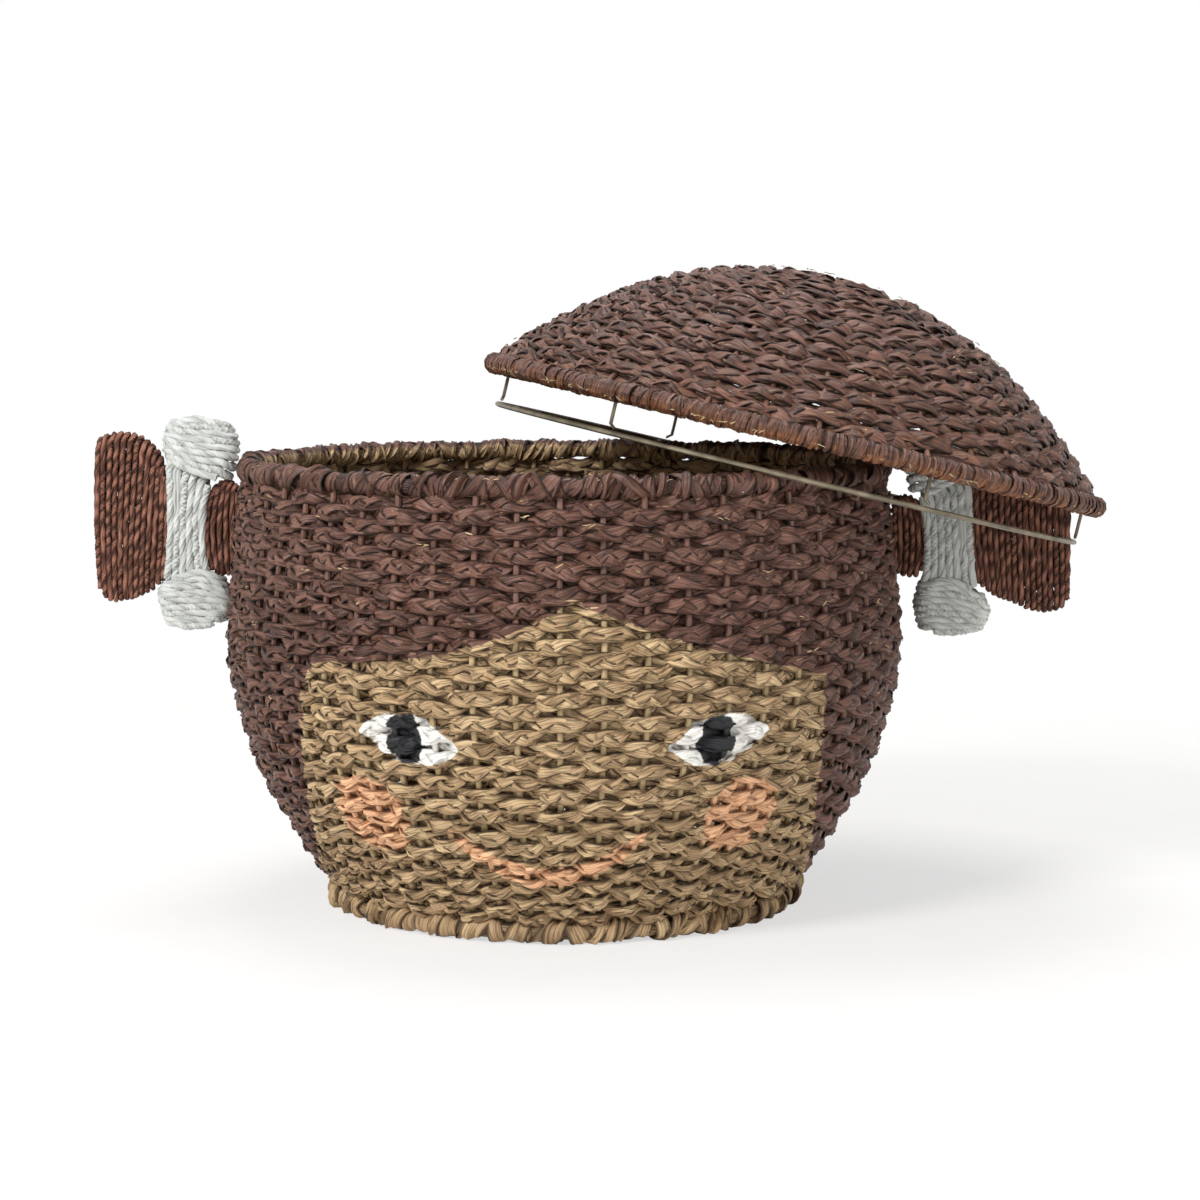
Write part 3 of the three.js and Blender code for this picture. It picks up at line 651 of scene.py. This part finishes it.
def makeWall(size):
    line = curveThrough(size["line"], 400)
    places = np.linspace(size["lowest"], runOf(line)[-1] - size["topClear"], size["courses"])
    courses = []
    for i, (spot, direction) in enumerate(zip(*headed(line, places))):
        rng = np.random.default_rng(seed + size["draws"] + i)
        normal = (direction[1], -direction[0])
        course = ringCourse(spot[0], spot[1], normal, size["stakes"], i % 2, braidSizes)
        courses.append(braid(course, braidSizes, rng))
    share = math.ceil(len(courses) / size["pieces"])
    for k in range(size["pieces"]):
        band = courses[k * share:(k + 1) * share]
        strands = [strand for course in band for strand in course]
        makePiece(f"wall_braid_{k + 1}", strands, grassOutline, wallGrass, "basket",
                  ["wall_weave"], designPaint)
    return line


def uprightWire(line, direction, angle, thick, lot):
    # a wire that follows a profile at one angle
    turned = np.full(len(line), angle)
    return {
        "centre": lathe(turned, line[:, :1], line[:, 1:]),
        "out": lathe(turned, direction[:, 1:], -direction[:, :1]),
        "width": thick,
        "thick": thick,
        "lot": float(lot),
        "wear": 0.2,
    }


def ringWire(radius, height, thick):
    turn = np.arange(144) / 144 * fullTurn
    return {"centre": lathe(turn, radius, height), "out": radial(turn),
            "width": thick, "thick": thick, "closed": True}


def makeStakes(size, line):
    direction = unit(np.gradient(line, axis=0))
    wires = []
    for i in range(size["stakes"]):
        angle = math.pi / 2 + i / size["stakes"] * fullTurn
        wires.append(uprightWire(line[::8], direction[::8], angle, size["stakeThick"], i))
    wires.append(ringWire(*size["line"][-1], size["ringThick"]))
    makePiece("wall_stakes", wires, wireOutline, cageWire, "basket",
              ["wall_cage"], designPaint)


wallLine = makeWall(wallSizes)
makeStakes(wallSizes, wallLine)
print("wall made")


# Coils: grass wrapped round a ring of wire over a core of the same grass

coilStray = {"reach": 0.3, "width": 0.2, "thick": 0.12, "tint": 0.14}    # on every coil
# shade scales the painted shade on each wrap's sides
coilSizes = {
    "rim": {"radius": 186.3, "height": 257.6, "thick": 12, "wraps": 300, "ways": (1, 1, 1, -1),
            "strand": 7.4, "skin": 1.7, "lumps": 0.6, "stray": 0.7, "twist": 0.34, "pleat": 2.0,
            "shade": 1.0, "wear": 0.12, "steps": 14},
    "foot": {"radius": 135.5, "height": 6.7, "thick": 12.6, "wraps": 94, "ways": (1,),
             "strand": 11.0, "skin": 3.0, "lumps": 0.5, "stray": 0.3, "twist": 0.22, "pleat": 2.2,
             "shade": 1.0, "wear": 0.0, "steps": 16},
    "lid": {"radius": 184.7, "height": 0, "thick": 11.4, "wraps": 600, "ways": (1, 1),
            "strand": 3.8, "skin": 1.1, "lumps": 0.25, "stray": 0.7, "twist": 0.16, "pleat": 1.1,
            "shade": 0.84, "wear": 1.0, "steps": 10},
}


def coil(size, rng):
    core = np.arange(180) / 180 * fullTurn + math.pi
    inside = size["thick"] - 1.2 * size["skin"]     # the wraps' inner faces sink into the core
    strands = [{
        "centre": lathe(core, size["radius"], size["height"]),
        "out": radial(core),
        "width": inside,
        "thick": inside,
        "closed": True,
        "tint": 0.0,
    }]
    starts = len(size["ways"])
    wraps = size["wraps"] // starts
    turn = np.arange(wraps * size["steps"]) / (wraps * size["steps"]) * fullTurn
    lump = wobble(turn, size["lumps"], (12, wraps // 2), rng)

    def stray(amount):
        return wobble(turn, amount, (wraps // 3, wraps), rng)

    for k, way in enumerate(size["ways"]):
        angle = turn + math.pi + stray(size["stray"] * fullTurn / size["wraps"])
        wrap = way * wraps * turn + fullTurn * k / starts
        reach = (size["thick"] - size["skin"]) / 2 + lump + stray(coilStray["reach"])
        out = lathe(angle, np.cos(wrap)[:, None], np.sin(wrap)[:, None])
        strands.append({
            "centre": lathe(angle, size["radius"], size["height"]) + out * reach[:, None],
            "out": out,
            "width": size["strand"] * (1 + stray(coilStray["width"])),
            "thick": size["skin"] * (1 + stray(coilStray["thick"])),
            "roll": 0.1 + stray(size["twist"]),
            "pleat": stray(size["pleat"]),
            "shade": size["shade"],
            "closed": True,
            "lot": rng.uniform(0, 400),
            "tint": np.clip(0.45 + stray(coilStray["tint"]), 0, 1),
            "wear": size["wear"],
        })
    return strands


def rimPaint(points, normals, places):
    paint = designPaint(points, normals, places)
    # the brush reaches over the top of the rim, not down its inner side
    size = coilSizes["rim"]
    out = (np.hypot(points[:, 0], points[:, 1]) - size["radius"]) / (size["thick"] / 2)
    high = (points[:, 2] - size["height"]) / (size["thick"] / 2)
    paint["outward"] = 0.5 * out + 0.4 * high + 0.15 * paint["outward"] - 0.25
    paint["paintBrown"] = np.full(len(points), allPainted)
    return paint


makePiece("rim_wrap", coil(coilSizes["rim"], np.random.default_rng(seed + 60)), grassOutline,
          wallGrass, "basket", ["rim_coil"], rimPaint)
makePiece("foot_wrap", coil(coilSizes["foot"], np.random.default_rng(seed + 61)), grassOutline,
          plainGrass, "basket", ["base_coil"])


# Floor

floorSizes = {"height": 5.5, "inner": 6, "outer": 124.5, "courses": 17, "spokes": 12, "hub": 18}


def makeFloor(size):
    flat = dict(braidSizes, weave=2.2, lift=0.9, strandThick=1.9)
    strands = []
    for i, radius in enumerate(np.linspace(size["inner"], size["outer"], size["courses"])):
        rng = np.random.default_rng(seed + 70 + i)
        stakes = size["spokes"] if radius > size["hub"] else 2
        course = ringCourse(radius, size["height"], (0, 1), stakes, i % 2, flat)
        strands += braid(course, flat, rng)
    makePiece("floor_braid", strands, grassOutline, plainGrass, "basket",
              ["floor_weave"])


makeFloor(floorSizes)
print("floor made")


# Lid, shaped in its own frame and then laid on the rim

lidSizes = {
    "centre": (137.56, 21.7, 275.22),
    "tilt": 13.45,
    "pitch": -2.16,
    "radius": 184.7,
    "rise": 93,
    "fullness": 2.2,
    "inner": 5,
    "edgeClear": 9.5,
    "courses": 31,
    "firstBand": 0.7,        # share of the courses in the first of two pieces
    "ribs": [(105, 36), (45, 18), (0, 6)],   # from this radius outward, so many ribs
    "hub": 20,
    "wire": 3.0,
    "turnOver": 60,          # how soon the painted side turns from facing up to facing out
    "wear": 0.08, "edgeWear": 0.3,
    # pulled longer than the wall's
    "braid": dict(braidSizes, period=52, weave=2.4, lift=1.0, width=12.9, strandWidth=7.2),
}


def lidHeight(radius, size):
    return size["rise"] * (1 - (radius / size["radius"]) ** size["fullness"])


def layLid(vectors, size, move=True):
    turn = Euler((math.radians(size["pitch"]), math.radians(size["tilt"]), 0), "ZYX")
    laid = vectors @ np.array(turn.to_matrix()).T
    return laid + np.array(size["centre"]) if move else laid


def laidStrand(strand, size):
    return dict(strand, centre=layLid(strand["centre"], size), out=layLid(strand["out"], size, False))


def lidUp():
    return layLid(upward[None], lidSizes, False)[0]


def lidPaint(points, normals, places):
    up = lidUp()
    aside = points - np.array(lidSizes["centre"])
    outward = unit(aside - up * (aside @ up)[:, None] + up * lidSizes["turnOver"])
    hidden = np.full(len(points), notPainted)
    return {"outward": np.sum(outward * normals, axis=1), "paintBrown": np.full(len(points), allPainted),
            "paintCoral": hidden, "paintWhite": hidden, "paintBlack": hidden}


def edgePaint(points, normals, places):
    # rubbed on its lower side, where the lid is set down
    paint = lidPaint(points, normals, places)
    paint["wear"] = np.clip(0.4 - 0.8 * (normals @ lidUp()), 0, 1) * coilSizes["lid"]["wear"]
    paint["outward"] = paint["outward"] + 0.25
    return paint


def makeLid(size):
    radii = np.linspace(0, size["radius"], 400)
    line = np.stack([radii, lidHeight(radii, size)], axis=1)
    places = np.linspace(size["inner"], runOf(line)[-1] - size["edgeClear"], size["courses"])
    strands = []
    for i, (spot, direction) in enumerate(zip(*headed(line, places))):
        rng = np.random.default_rng(seed + 100 + i)
        normal = (-direction[1], direction[0])
        ribs = next(count for start, count in size["ribs"] if spot[0] >= start)
        wear = size["wear"] + size["edgeWear"] * (spot[0] / size["radius"]) ** 10
        course = ringCourse(spot[0], spot[1], normal, ribs, i % 2, size["braid"], wear)
        strands.append(braid(course, size["braid"], rng))
    first = round(size["courses"] * size["firstBand"])
    for k, band in enumerate((strands[:first], strands[first:])):
        laid = [laidStrand(strand, size) for course in band for strand in course]
        makePiece(f"lid_braid_{k + 1}", laid, grassOutline, wallGrass, "lid",
                  ["lid_weave"], lidPaint)
    edge = coil(coilSizes["lid"], np.random.default_rng(seed + 62))
    makePiece("lid_edge_wrap", [laidStrand(strand, size) for strand in edge], grassOutline, wallGrass,
              "lid", ["lid_rim_coil"], edgePaint)
    makeRibs(size, line)
    return line


def makeRibs(size, line):
    wires = []
    most = size["ribs"][0][1]
    for i in range(most):
        start = next(low for low, count in reversed(size["ribs"]) if i % (most // count) == 0)
        kept = line[line[:, 0] >= max(start, size["hub"])][::8]
        direction = unit(np.gradient(kept, axis=0))
        angle = math.pi / 2 + i / most * fullTurn
        wires.append(uprightWire(kept, -direction, angle, size["wire"], i))
    wires.append(ringWire(size["radius"], 0, size["wire"]))
    laid = [laidStrand(wire, size) for wire in wires]
    makePiece("lid_ribs", laid, wireOutline, cageWire, "lid", ["lid_cage"], lidPaint)


lidLine = makeLid(lidSizes)
print("lid made")


# Handles: two-ply cord wound round wire frames. Each winding is given by the lines on which
# its strands start, pass their middle and end, as (out from the axis, height over the level).

level = 220.0
handleSizes = {
    "left": {
        "side": -1,
        "outer_wrap": {
            "cord": "brown", "loops": 13, "depth": 3.6,
            "from": [(237.5, 36), (241, 48), (248.5, 55), (258, 59), (268, 58.8), (277, 55)],
            "over": [(235.4, 4), (279, 4)],
            "to": [(239.5, -31), (247, -38), (255, -41.5), (262.5, -43.5), (270, -44.3), (276.8, -40)]},
        "inner_wrap": {
            "cord": "brown", "loops": 7, "depth": 3.4,
            "from": [(194, 27), (199, 31), (205, 29.5), (212, 22)],
            "over": [(193, 0), (217.5, 1)],
            "to": [(195, -26), (200, -28.5), (207, -28), (213.5, -22)]},
        "knot_wrap": {
            "cord": "white", "loops": 6, "depth": 4.9,
            "from": [(209, 33), (236, 46)],
            "over": [(214.6, 2), (235, 2)],
            "to": [(211.5, -31), (238.5, -36)]},
        "bow_top_wrap": {
            "cord": "white", "loops": 9, "depth": 6.9,
            "from": [(197.5, 27.5), (192.5, 43), (193, 55), (198, 62)],
            "over": [(217, 33.5), (214, 66.5)],
            "to": [(237, 42), (239, 50), (238, 59), (233, 65.5)]},
        "bow_low_wrap": {
            "cord": "white", "loops": 9, "depth": 6.9,
            "from": [(201, -54), (197.5, -47), (198, -38), (202, -29)],
            "over": [(220, -58.5), (217, -24)],
            "to": [(239, -55), (242, -48), (244, -38), (240, -31.5)]},
    },
    "right": {
        "side": 1,
        "outer_wrap": {
            "cord": "brown", "loops": 17, "depth": 3.6,
            "from": [(242, 36), (256, 41.5), (270, 42), (284, 38), (299, 28)],
            "over": [(241.3, 0), (300.5, 0)],
            "to": [(247, -33), (257, -41), (267, -44.5), (279, -49.5), (290, -50.5), (300.5, -47)]},
        "inner_wrap": {
            "cord": "brown", "loops": 6, "depth": 3.4,
            "from": [(195.5, 20), (202.5, 22), (209.5, 19)],
            "over": [(195.5, -5), (215.5, -3)],
            "to": [(196, -26), (204, -29.5), (213, -29)]},
        "knot_wrap": {
            "cord": "white", "loops": 7, "depth": 4.9,
            "from": [(210.5, 26), (241.3, 34)],
            "over": [(214.8, -4), (242, -4)],
            "to": [(213.5, -34), (246, -41)]},
        "bow_top_wrap": {
            "cord": "white", "loops": 9, "depth": 6.9,
            "from": [(205, 21.5), (201.5, 36), (202, 48), (206, 54)],
            "over": [(216, 21.5), (216, 60)],
            "to": [(236, 32), (240, 42), (241, 52), (238, 59)]},
        "bow_low_wrap": {
            "cord": "white", "loops": 9, "depth": 6.9,
            "from": [(212, -59.5), (208.3, -50), (208, -40), (211, -31.5)],
            "over": [(230, -62.3), (231, -29.5)],
            "to": [(251, -58), (254.5, -52), (254.5, -46), (250, -38.5)]},
    },
}
plySizes = {
    "brown": {"pitch": 3.3, "fill": 0.37, "twist": 19, "uneven": 2.2, "step": 1.6, "stray": 0.16},
    "white": {"pitch": 4.2, "fill": 0.41, "twist": 24, "uneven": 1.8, "step": 1.8, "stray": 0.2},
}
# shade scales the painted shade on a ply's sides
plyShape = {"apart": 0.55, "width": 1.25, "shade": 0.92, "stray": 0.06, "tint": 0.22}
windingShape = {
    "lap": 0.25,             # a pass starts and ends this share of a pass into the next ones
    "points": 9,             # along a pass
    "corner": (-50, 0, 50),  # degrees, round an end bar
}
rodSizes = {"heights": (-14, 11), "start": 192, "short": 6, "thick": 3.0}
barSizes = {"places": (0.12, 0.92), "short": 7}    # at each end, along the outer winding


def onLine(points, share):
    # a point of a smooth line through the given points, evenly shared out
    points = np.array(points, float)
    if len(points) == 2:
        return points[0] + (points[1] - points[0]) * share
    fine = curveThrough(points, 60)
    place = share * (len(fine) - 1)
    i = min(int(place), len(fine) - 2)
    return fine[i] + (fine[i + 1] - fine[i]) * (place - i)


def windingLine(side, size, pitch):
    # over the front, round the end bar, back behind and round again
    depth, line = size["depth"], []
    passes = 2 * size["loops"] - 1
    lap = windingShape["lap"]
    for number in range(passes):
        sign = -1 if number % 2 == 0 else 1
        ends = []
        for key in ("from", "over", "to"):
            start = onLine(size[key], max(number - lap, 0) / passes)
            finish = onLine(size[key], min(number + 1 + lap, passes) / passes)
            ends.append(start + (finish - start) * 0.5)
        first, middle, last = ends
        if sign > 0:
            first, last = last, first
        inset = depth + pitch / 2
        head = first + unit(middle - first) * inset
        tail = last + unit(middle - last) * inset
        for u in np.linspace(0, 1, windingShape["points"]):
            spot = (1 - u) * (1 - 2 * u) * head + 4 * u * (1 - u) * middle + u * (2 * u - 1) * tail
            line.append((side * spot[0], sign * depth, level + spot[1]))
        away = unit(last - middle)
        for turned in np.radians(windingShape["corner"]):
            spot = tail + away * depth * math.cos(turned)
            line.append((side * spot[0], -sign * depth * math.sin(turned), level + spot[1]))
    return np.array(line[:-len(windingShape["corner"])])


def pliesOf(line, cord, rng):
    length = runOf(line)[-1]
    line = evenly(line, np.linspace(0, length, int(length / cord["step"])))
    turn = np.arange(len(line)) / len(line) * fullTurn
    for _ in range(3):
        line[1:-1] = (line[:-2] + 2 * line[1:-1] + line[2:]) / 4

    def stray(amount):
        return wobble(turn, amount, (int(length / 40), int(length / 8)), rng)

    for axis in range(3):
        line[:, axis] += stray(cord["stray"])
    travel = unit(np.gradient(line, axis=0))
    across = unit(np.cross(travel, np.array([0.0, 1.0, 0.0]) + travel[:, [2, 0, 1]] * 0.01))
    over = np.cross(travel, across)
    # the twist drifts from one pass to the next, so neighbours don't line up
    drift = (max(1, int(length / 160)), max(2, int(length / 55)))
    spin = turn * length / cord["twist"] + wobble(turn, cord["uneven"], drift, rng)
    radius = cord["pitch"] * cord["fill"]
    plies = []
    for k in range(2):
        angle = spin + k * math.pi
        out = across * np.cos(angle)[:, None] + over * np.sin(angle)[:, None]
        plies.append({
            "centre": line + out * radius * plyShape["apart"],
            "out": out,
            "cord": (line, across, cord["pitch"] / 2),
            "shade": plyShape["shade"],
            "width": 2 * radius * (plyShape["width"] + stray(plyShape["stray"])),
            "thick": 2 * radius * (1 + stray(plyShape["stray"])),
            "lot": rng.uniform(0, 400),
            "tint": np.clip(0.5 + stray(plyShape["tint"]), 0, 1),
        })
    return plies


def makeHandle(label, size, rng):
    cords = {"brown": (brownCord, "brown_paper_cord"), "white": (whiteCord, "white_paper_cord")}
    for part, spec in size.items():
        if part == "side":
            continue
        cord = plySizes[spec["cord"]]
        material, slot = cords[spec["cord"]]
        plies = pliesOf(windingLine(size["side"], spec, cord["pitch"]), cord, rng)
        makePiece(f"{label}_{part}", plies, plyOutline, material, "basket",
                  [f"handle_{label}_{part}"])
    makeHandleWires(label, size["side"], size["outer_wrap"])


def makeHandleWires(label, side, outer):
    # what the cord hides: two rods out of the wall and a bar at each end
    reach = outer["over"][1][0] - rodSizes["short"]
    lines = [[(rodSizes["start"], height), (reach, height)] for height in rodSizes["heights"]]
    for share in barSizes["places"]:
        top, low = onLine(outer["from"], share), onLine(outer["to"], share)
        lines.append([(top[0], top[1] - barSizes["short"]), (low[0], low[1] + barSizes["short"])])
    wires = []
    for line in lines:
        ends = np.array([(side * out, 0, level + height) for out, height in line])
        wires.append({"centre": np.linspace(ends[0], ends[1], 8), "out": np.tile([0.0, -1.0, 0.0], (8, 1)),
                      "width": rodSizes["thick"], "thick": rodSizes["thick"]})
    makePiece(f"{label}_handle_wires", wires, wireOutline, plainWire, "basket",
              [f"handle_{label}_{part}" for part in ("frame", "bow_top_frame", "bow_low_frame")])


for number, (label, size) in enumerate(handleSizes.items()):
    makeHandle(label, size, np.random.default_rng(seed + 200 + number))
print("handles made")


# Shreds: ends of leaf that stand out of the braid, pale where the paint missed them

shredSizes = {
    "length": (2, 5.5), "width": 0.8, "thick": 0.3,
    "outline": (0.5, 1, 1, 0.85, 0.6, 0.25),    # its width along the length
    "spread": 0.35, "curl": 1.5, "lift": (0.1, 0.6),
    "wall": 100, "lid": 60, "edge": 90, "rim": 40,     # tufts
    "tuft": (1, 3), "tuftSpread": 1.5,
    "onWall": (5.2, 0.03, 0.96), "onLid": (5.0, 0.05, 0.97),        # mm out, and from where to where
    "onRim": (190.5, 261.5, 1.0), "onEdge": (189.3, -2.6, -0.5),    # radius, height, facing up
}


def shred(place, out, along, rng, size):
    length = rng.uniform(*size["length"])
    side = np.cross(out, along)
    heading = unit(along * rng.choice((-1, 1)) + side * rng.normal(0, size["spread"]))
    curl, lift = rng.uniform(-size["curl"], size["curl"]), rng.uniform(*size["lift"])
    narrow = np.array(size["outline"])
    t = np.linspace(0, 1, len(narrow))[:, None]
    bend = np.cross(out, heading)
    centre = (place + heading * length * np.sin(t * 1.2) + bend * curl * t ** 2
              + out * (lift * np.sin(t * math.pi) + 0.3))
    return {
        "centre": centre,
        "out": np.tile(out + side * 0.3, (len(narrow), 1)),
        "width": size["width"] * narrow * rng.uniform(0.6, 1.3),
        "thick": size["thick"],
        "tint": rng.uniform(0.5, 1.0),
        "lot": rng.uniform(0, 400),
    }


def tufts(places, outs, alongs, rng, size):
    shreds = []
    for place, out, along in zip(places, outs, alongs):
        for _ in range(rng.integers(*size["tuft"], endpoint=True)):
            start = place + along * rng.normal(0, size["tuftSpread"])
            shreds.append(shred(start, out, along, rng, size))
    return shreds


def scatteredTufts(line, count, band, rng, size, painted=None):
    # places on a surface of revolution; where a test of paint is given, on the paint only
    swell, low, high = band
    spots, direction = headed(line, rng.uniform(low, high, count) * runOf(line)[-1])
    angle = rng.uniform(0, fullTurn, count)
    out = lathe(angle, direction[:, 1:], -direction[:, :1])
    if line[0][1] > line[-1][1]:
        out = -out
    places = lathe(angle, spots[:, :1], spots[:, 1:]) + out * swell
    alongs = running(radial(angle))
    if painted:
        shown = painted(places, out, None)["paintBrown"] > 0
        places, out, alongs = places[shown], out[shown], alongs[shown]
    return tufts(places, out, alongs, rng, size)


def ringTufts(count, ring, rng, size):
    radius, height, rise = ring
    angle = rng.uniform(0, fullTurn, count)
    outs = unit(lathe(angle, 1, rise))
    return tufts(lathe(angle, radius, height), outs, running(radial(angle)), rng, size)


def makeShreds(size):
    rng = np.random.default_rng(seed + 300)
    # pale shreds don't show on the bare face
    wall = scatteredTufts(wallLine, size["wall"], size["onWall"], rng, size, designPaint)
    wall += ringTufts(size["rim"], size["onRim"], rng, size)
    makePiece("wall_shreds", wall, plyOutline, plainGrass, "basket", ["wall_weave"])
    lid = scatteredTufts(lidLine, size["lid"], size["onLid"], rng, size)
    lid += ringTufts(size["edge"], size["onEdge"], rng, size)
    laid = [laidStrand(strand, lidSizes) for strand in lid]
    makePiece("lid_shreds", laid, plyOutline, plainGrass, "lid", ["lid_weave"])


makeShreds(shredSizes)
print("shreds made")


# Wires that keep their shape from the frame
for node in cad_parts.values():
    if not node.hide_render:
        node.data.materials.clear()
        node.data.materials.append(plainWire)


# Stage, lights and camera

stageSizes = {
    "floor": 40.0, "tone": "#f4f3f1", "toneLow": "#eceae6",
    "white": 0.6, "shadowNear": 0.45, "shadowFar": 1.1,
}
worldSizes = {"light": 0.42}
cameraSizes = {
    "place": (21.2, -1663.0, 358.9), "pitchDown": 0.1086,
    "focalPixels": 2798, "imagePixels": 1200, "sensor": 36,
}
lightAim = (0.02, 0, 0.2)
lightSizes = [
    {"name": "key", "place": (-1.7, -2.2, 2.2), "size": 1.0, "power": 88},
    {"name": "fill", "place": (2.2, -2.1, 1.3), "size": 1.8, "power": 20},
    {"name": "top", "place": (0.1, 0.5, 2.4), "size": 1.4, "power": 28},
]


def seenDirectly(tree):
    # by the eye, mirrored or through glass, where white has to be plain white
    rays = addNode(tree, "LightPath").outputs
    seen = addNode(tree, "Math", [
        rays["Is Camera Ray"], rays["Is Glossy Ray"]], operation="MAXIMUM")
    return addNode(tree, "Math", [seen, rays["Is Transmission Ray"]], operation="MAXIMUM")


def makeStage(size):
    bpy.ops.mesh.primitive_plane_add(size=size["floor"], location=(0, 0, 0))
    floor = bpy.context.object
    floor.name = "studio_floor"
    material, tree, shader = newMaterial("matPaperFloor", 0.9)
    place = addNode(tree, "TexCoord").outputs["Object"]
    cloud = addNode(tree, "TexNoise", {"Vector": place, "Scale": 25, "Detail": 2})
    colour = addNode(tree, "MixRGB", [cloud, linear(size["tone"]), linear(size["toneLow"])])
    tree.links.new(colour.outputs[0], shader.inputs["Base Color"])
    # white paper that keeps a soft shadow near the basket
    distance = addNode(tree, "VectorMath", [place], operation="LENGTH").outputs["Value"]
    fade = addNode(tree, "MapRange", [
        distance, size["shadowNear"], size["shadowFar"], size["white"], 1.0], **smoothly)
    share = addNode(tree, "Math", [seenDirectly(tree), fade], operation="MULTIPLY")
    white = addNode(tree, "Emission", {"Color": (1, 1, 1, 1), "Strength": 1.0})
    blend = addNode(tree, "MixShader", [share, shader, white])
    output = next(node for node in tree.nodes if node.type == "OUTPUT_MATERIAL")
    tree.links.new(blend.outputs[0], output.inputs["Surface"])
    floor.data.materials.append(material)


def makeWorld():
    world = bpy.data.worlds.new("studio")
    bpy.context.scene.world = world
    world.use_nodes = True
    tree = world.node_tree
    tree.nodes.clear()
    strength = addNode(tree, "MapRange", {0: seenDirectly(tree), 3: worldSizes["light"], 4: 1.0})
    sky = addNode(tree, "Background", {"Color": (1, 1, 1, 1), "Strength": strength})
    addNode(tree, "OutputWorld", {"Surface": sky})


def makeLights(lamps):
    for lamp in lamps:
        bpy.ops.object.light_add(type="AREA", location=lamp["place"])
        light = bpy.context.object
        light.name = lamp["name"]
        light.data.shape = "DISK"
        light.data.size = lamp["size"]
        light.data.energy = lamp["power"]
        aim = Vector(lightAim) - light.location
        light.rotation_euler = aim.to_track_quat("-Z", "Y").to_euler()


def makeCamera(size):
    bpy.ops.object.camera_add(location=Vector(size["place"]) * mm,
                              rotation=(math.pi / 2 - size["pitchDown"], 0, 0))
    camera = bpy.context.object
    camera.data.sensor_width = size["sensor"]
    camera.data.lens = size["focalPixels"] / size["imagePixels"] * size["sensor"]
    camera.data.clip_start = 0.05
    bpy.context.scene.camera = camera


makeStage(stageSizes)
makeWorld()
makeLights(lightSizes)
makeCamera(cameraSizes)
bpy.context.scene.view_settings.view_transform = "Standard"
print("stage made")
